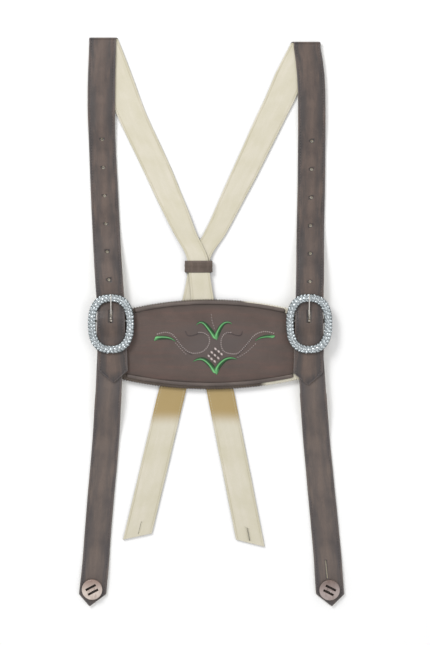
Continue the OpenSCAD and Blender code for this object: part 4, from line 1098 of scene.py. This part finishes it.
thong_brown = leather("dark_thong_leather", [(0, "241d1a"), (20, "33291f")], "4a3b30", "1f1916", place="Object")
# The first two colours of each button are the dark top and pale bottom of its painted reflection; the third is the
# streak colour.
horn_colours = {"left": ("8a736a", "d3c5bb", "a18d83"), "right": ("6f5d57", "a89a96", "8d7c75")}
button_turn = {"left": 28, "right": -27}
for side in ("left", "right"):
    low, high = box_mm(f"horn_button_{side}")
    centre = (low + high) / 2
    button = frame["nodes"][f"horn_button_{side}"]
    button.data.materials.clear()
    button.data.materials.append(horn(f"polished_horn_{side}", centre, *horn_colours[side]))
    washer = frame["nodes"][f"button_washer_{side}"]
    washer.data.materials.clear()
    washer.data.materials.append(thong_brown)
    bar = frame["nodes"][f"buckle_bar_{side}"]
    bar.data.materials.clear()
    bar.data.materials.append(prong_silver)
    turn = np.radians(button_turn[side])
    along = np.array([np.cos(turn), np.sin(turn)])
    apart = np.array([-np.sin(turn), np.cos(turn)])
    t_low, t_high = box_mm(f"button_thong_{side}")
    a = np.linspace(0, 2 * np.pi, 12, endpoint=False)[None, :]
    strips = []
    for sign in (-1, 1):
        t = np.linspace(-1, 1, 15)[:, None]
        half_w, top = 1.2, low[2] + 1.9
        x = t * 6.7 + 0 * a
        across = sign * 3.3 + half_w * np.cos(a)
        z = low[2] - 0.5 + (top - low[2] + 0.5) * (0.5 + 0.5 * np.sin(a)) * np.sqrt(1.03 - t ** 6)
        strips.append(skin(np.stack([centre[0] + x * along[0] + across * apart[0],
                                     centre[1] + x * along[1] + across * apart[1], z], -1)))
    z = np.array([t_low[2], t_low[2] + 0.2, low[2] - 0.6, low[2] - 0.3])[:, None]
    r = np.array([2.2, 2.4, 2.4, 1.8])[:, None]
    post = skin(np.stack([centre[0] + r * np.cos(a), centre[1] + r * np.sin(a), z + 0 * a], -1))
    piece(f"thong_{side}", together(post, *strips), thong_brown, slot="thong_leather", body=f"button_{side}",
          stands_for=(f"button_thong_{side}",))

# %% [markdown]
# ## Floor, light and camera
#
# The object lies on a plain white floor under soft, even light from all round, with one broad
# lamp above and to the left that models the ridges. The camera looks straight down with a
# long lens, so that nothing is foreshortened.

# %% Floor, lights and camera
scene = bpy.context.scene
reach = 6.0
floor_mesh = bpy.data.meshes.new("floor")
floor_mesh.from_pydata([(x, y, -0.0004) for x, y in ((-reach, -reach), (reach, -reach), (reach, reach), (-reach, reach))],
                       [], [(0, 1, 2, 3)])
floor = bpy.data.objects.new("floor", floor_mesh)
scene.collection.objects.link(floor)
white, tree, shader = blank("matt_white_paper")
shader.inputs["Base Color"].default_value = (0.95, 0.95, 0.95, 1)
shader.inputs["Roughness"].default_value = 0.9
shader.inputs["Specular IOR Level"].default_value = 0.1
floor_mesh.materials.append(white)

world = bpy.data.worlds.new("studio")
scene.world = world
world.use_nodes = True
world.node_tree.nodes["Background"].inputs["Color"].default_value = (1, 1, 1, 1)
world.node_tree.nodes["Background"].inputs["Strength"].default_value = 0.72


def lamp(name, place, size, watts):
    """A square soft box that faces the middle of the object."""
    light = bpy.data.lights.new(name, "AREA")
    light.size, light.energy = size, watts
    made = bpy.data.objects.new(name, light)
    made.location = place
    made.rotation_euler = (-Vector(place)).to_track_quat("-Z", "Y").to_euler()
    scene.collection.objects.link(made)


lamp("key", (-1.2, 1.5, 1.9), 0.9, 36)
lamp("fill", (1.6, -0.6, 2.4), 1.6, 10)

middle = (Vector(cad_box[0]) + Vector(cad_box[1])) / 2
camera = bpy.data.objects.new("camera", bpy.data.cameras.new("camera"))
camera.data.lens, camera.data.sensor_width = 85, 36
camera.location = (middle.x + 0.00425, middle.y - 0.001, 1.934 + middle.z)
scene.collection.objects.link(camera)
scene.camera = camera
scene.view_settings.view_transform = "Standard"

# %% [markdown]
# ## Measuring the flat hides
#
# The straps are sheets: bands that were cut flat and then laid or folded. For each strap hide the steps along its
# middle line are measured, and each piece of the chest plate is cut across at 60 places along its length.

for key, (made, course) in hides.items():
    steps = np.hypot(np.diff(course["x"]), np.diff(course["y"]))
for name, node in (("chest_plate_front_hide", "chest_plate_leather"), ("chest_plate_pinked_backing", "chest_plate_backing")):
    low, high = box_mm(node)
    across = np.linspace(low[0] + 0.2, high[0] - 0.2, 60)
    y0, y1, _, _ = cut(node, 0, across)
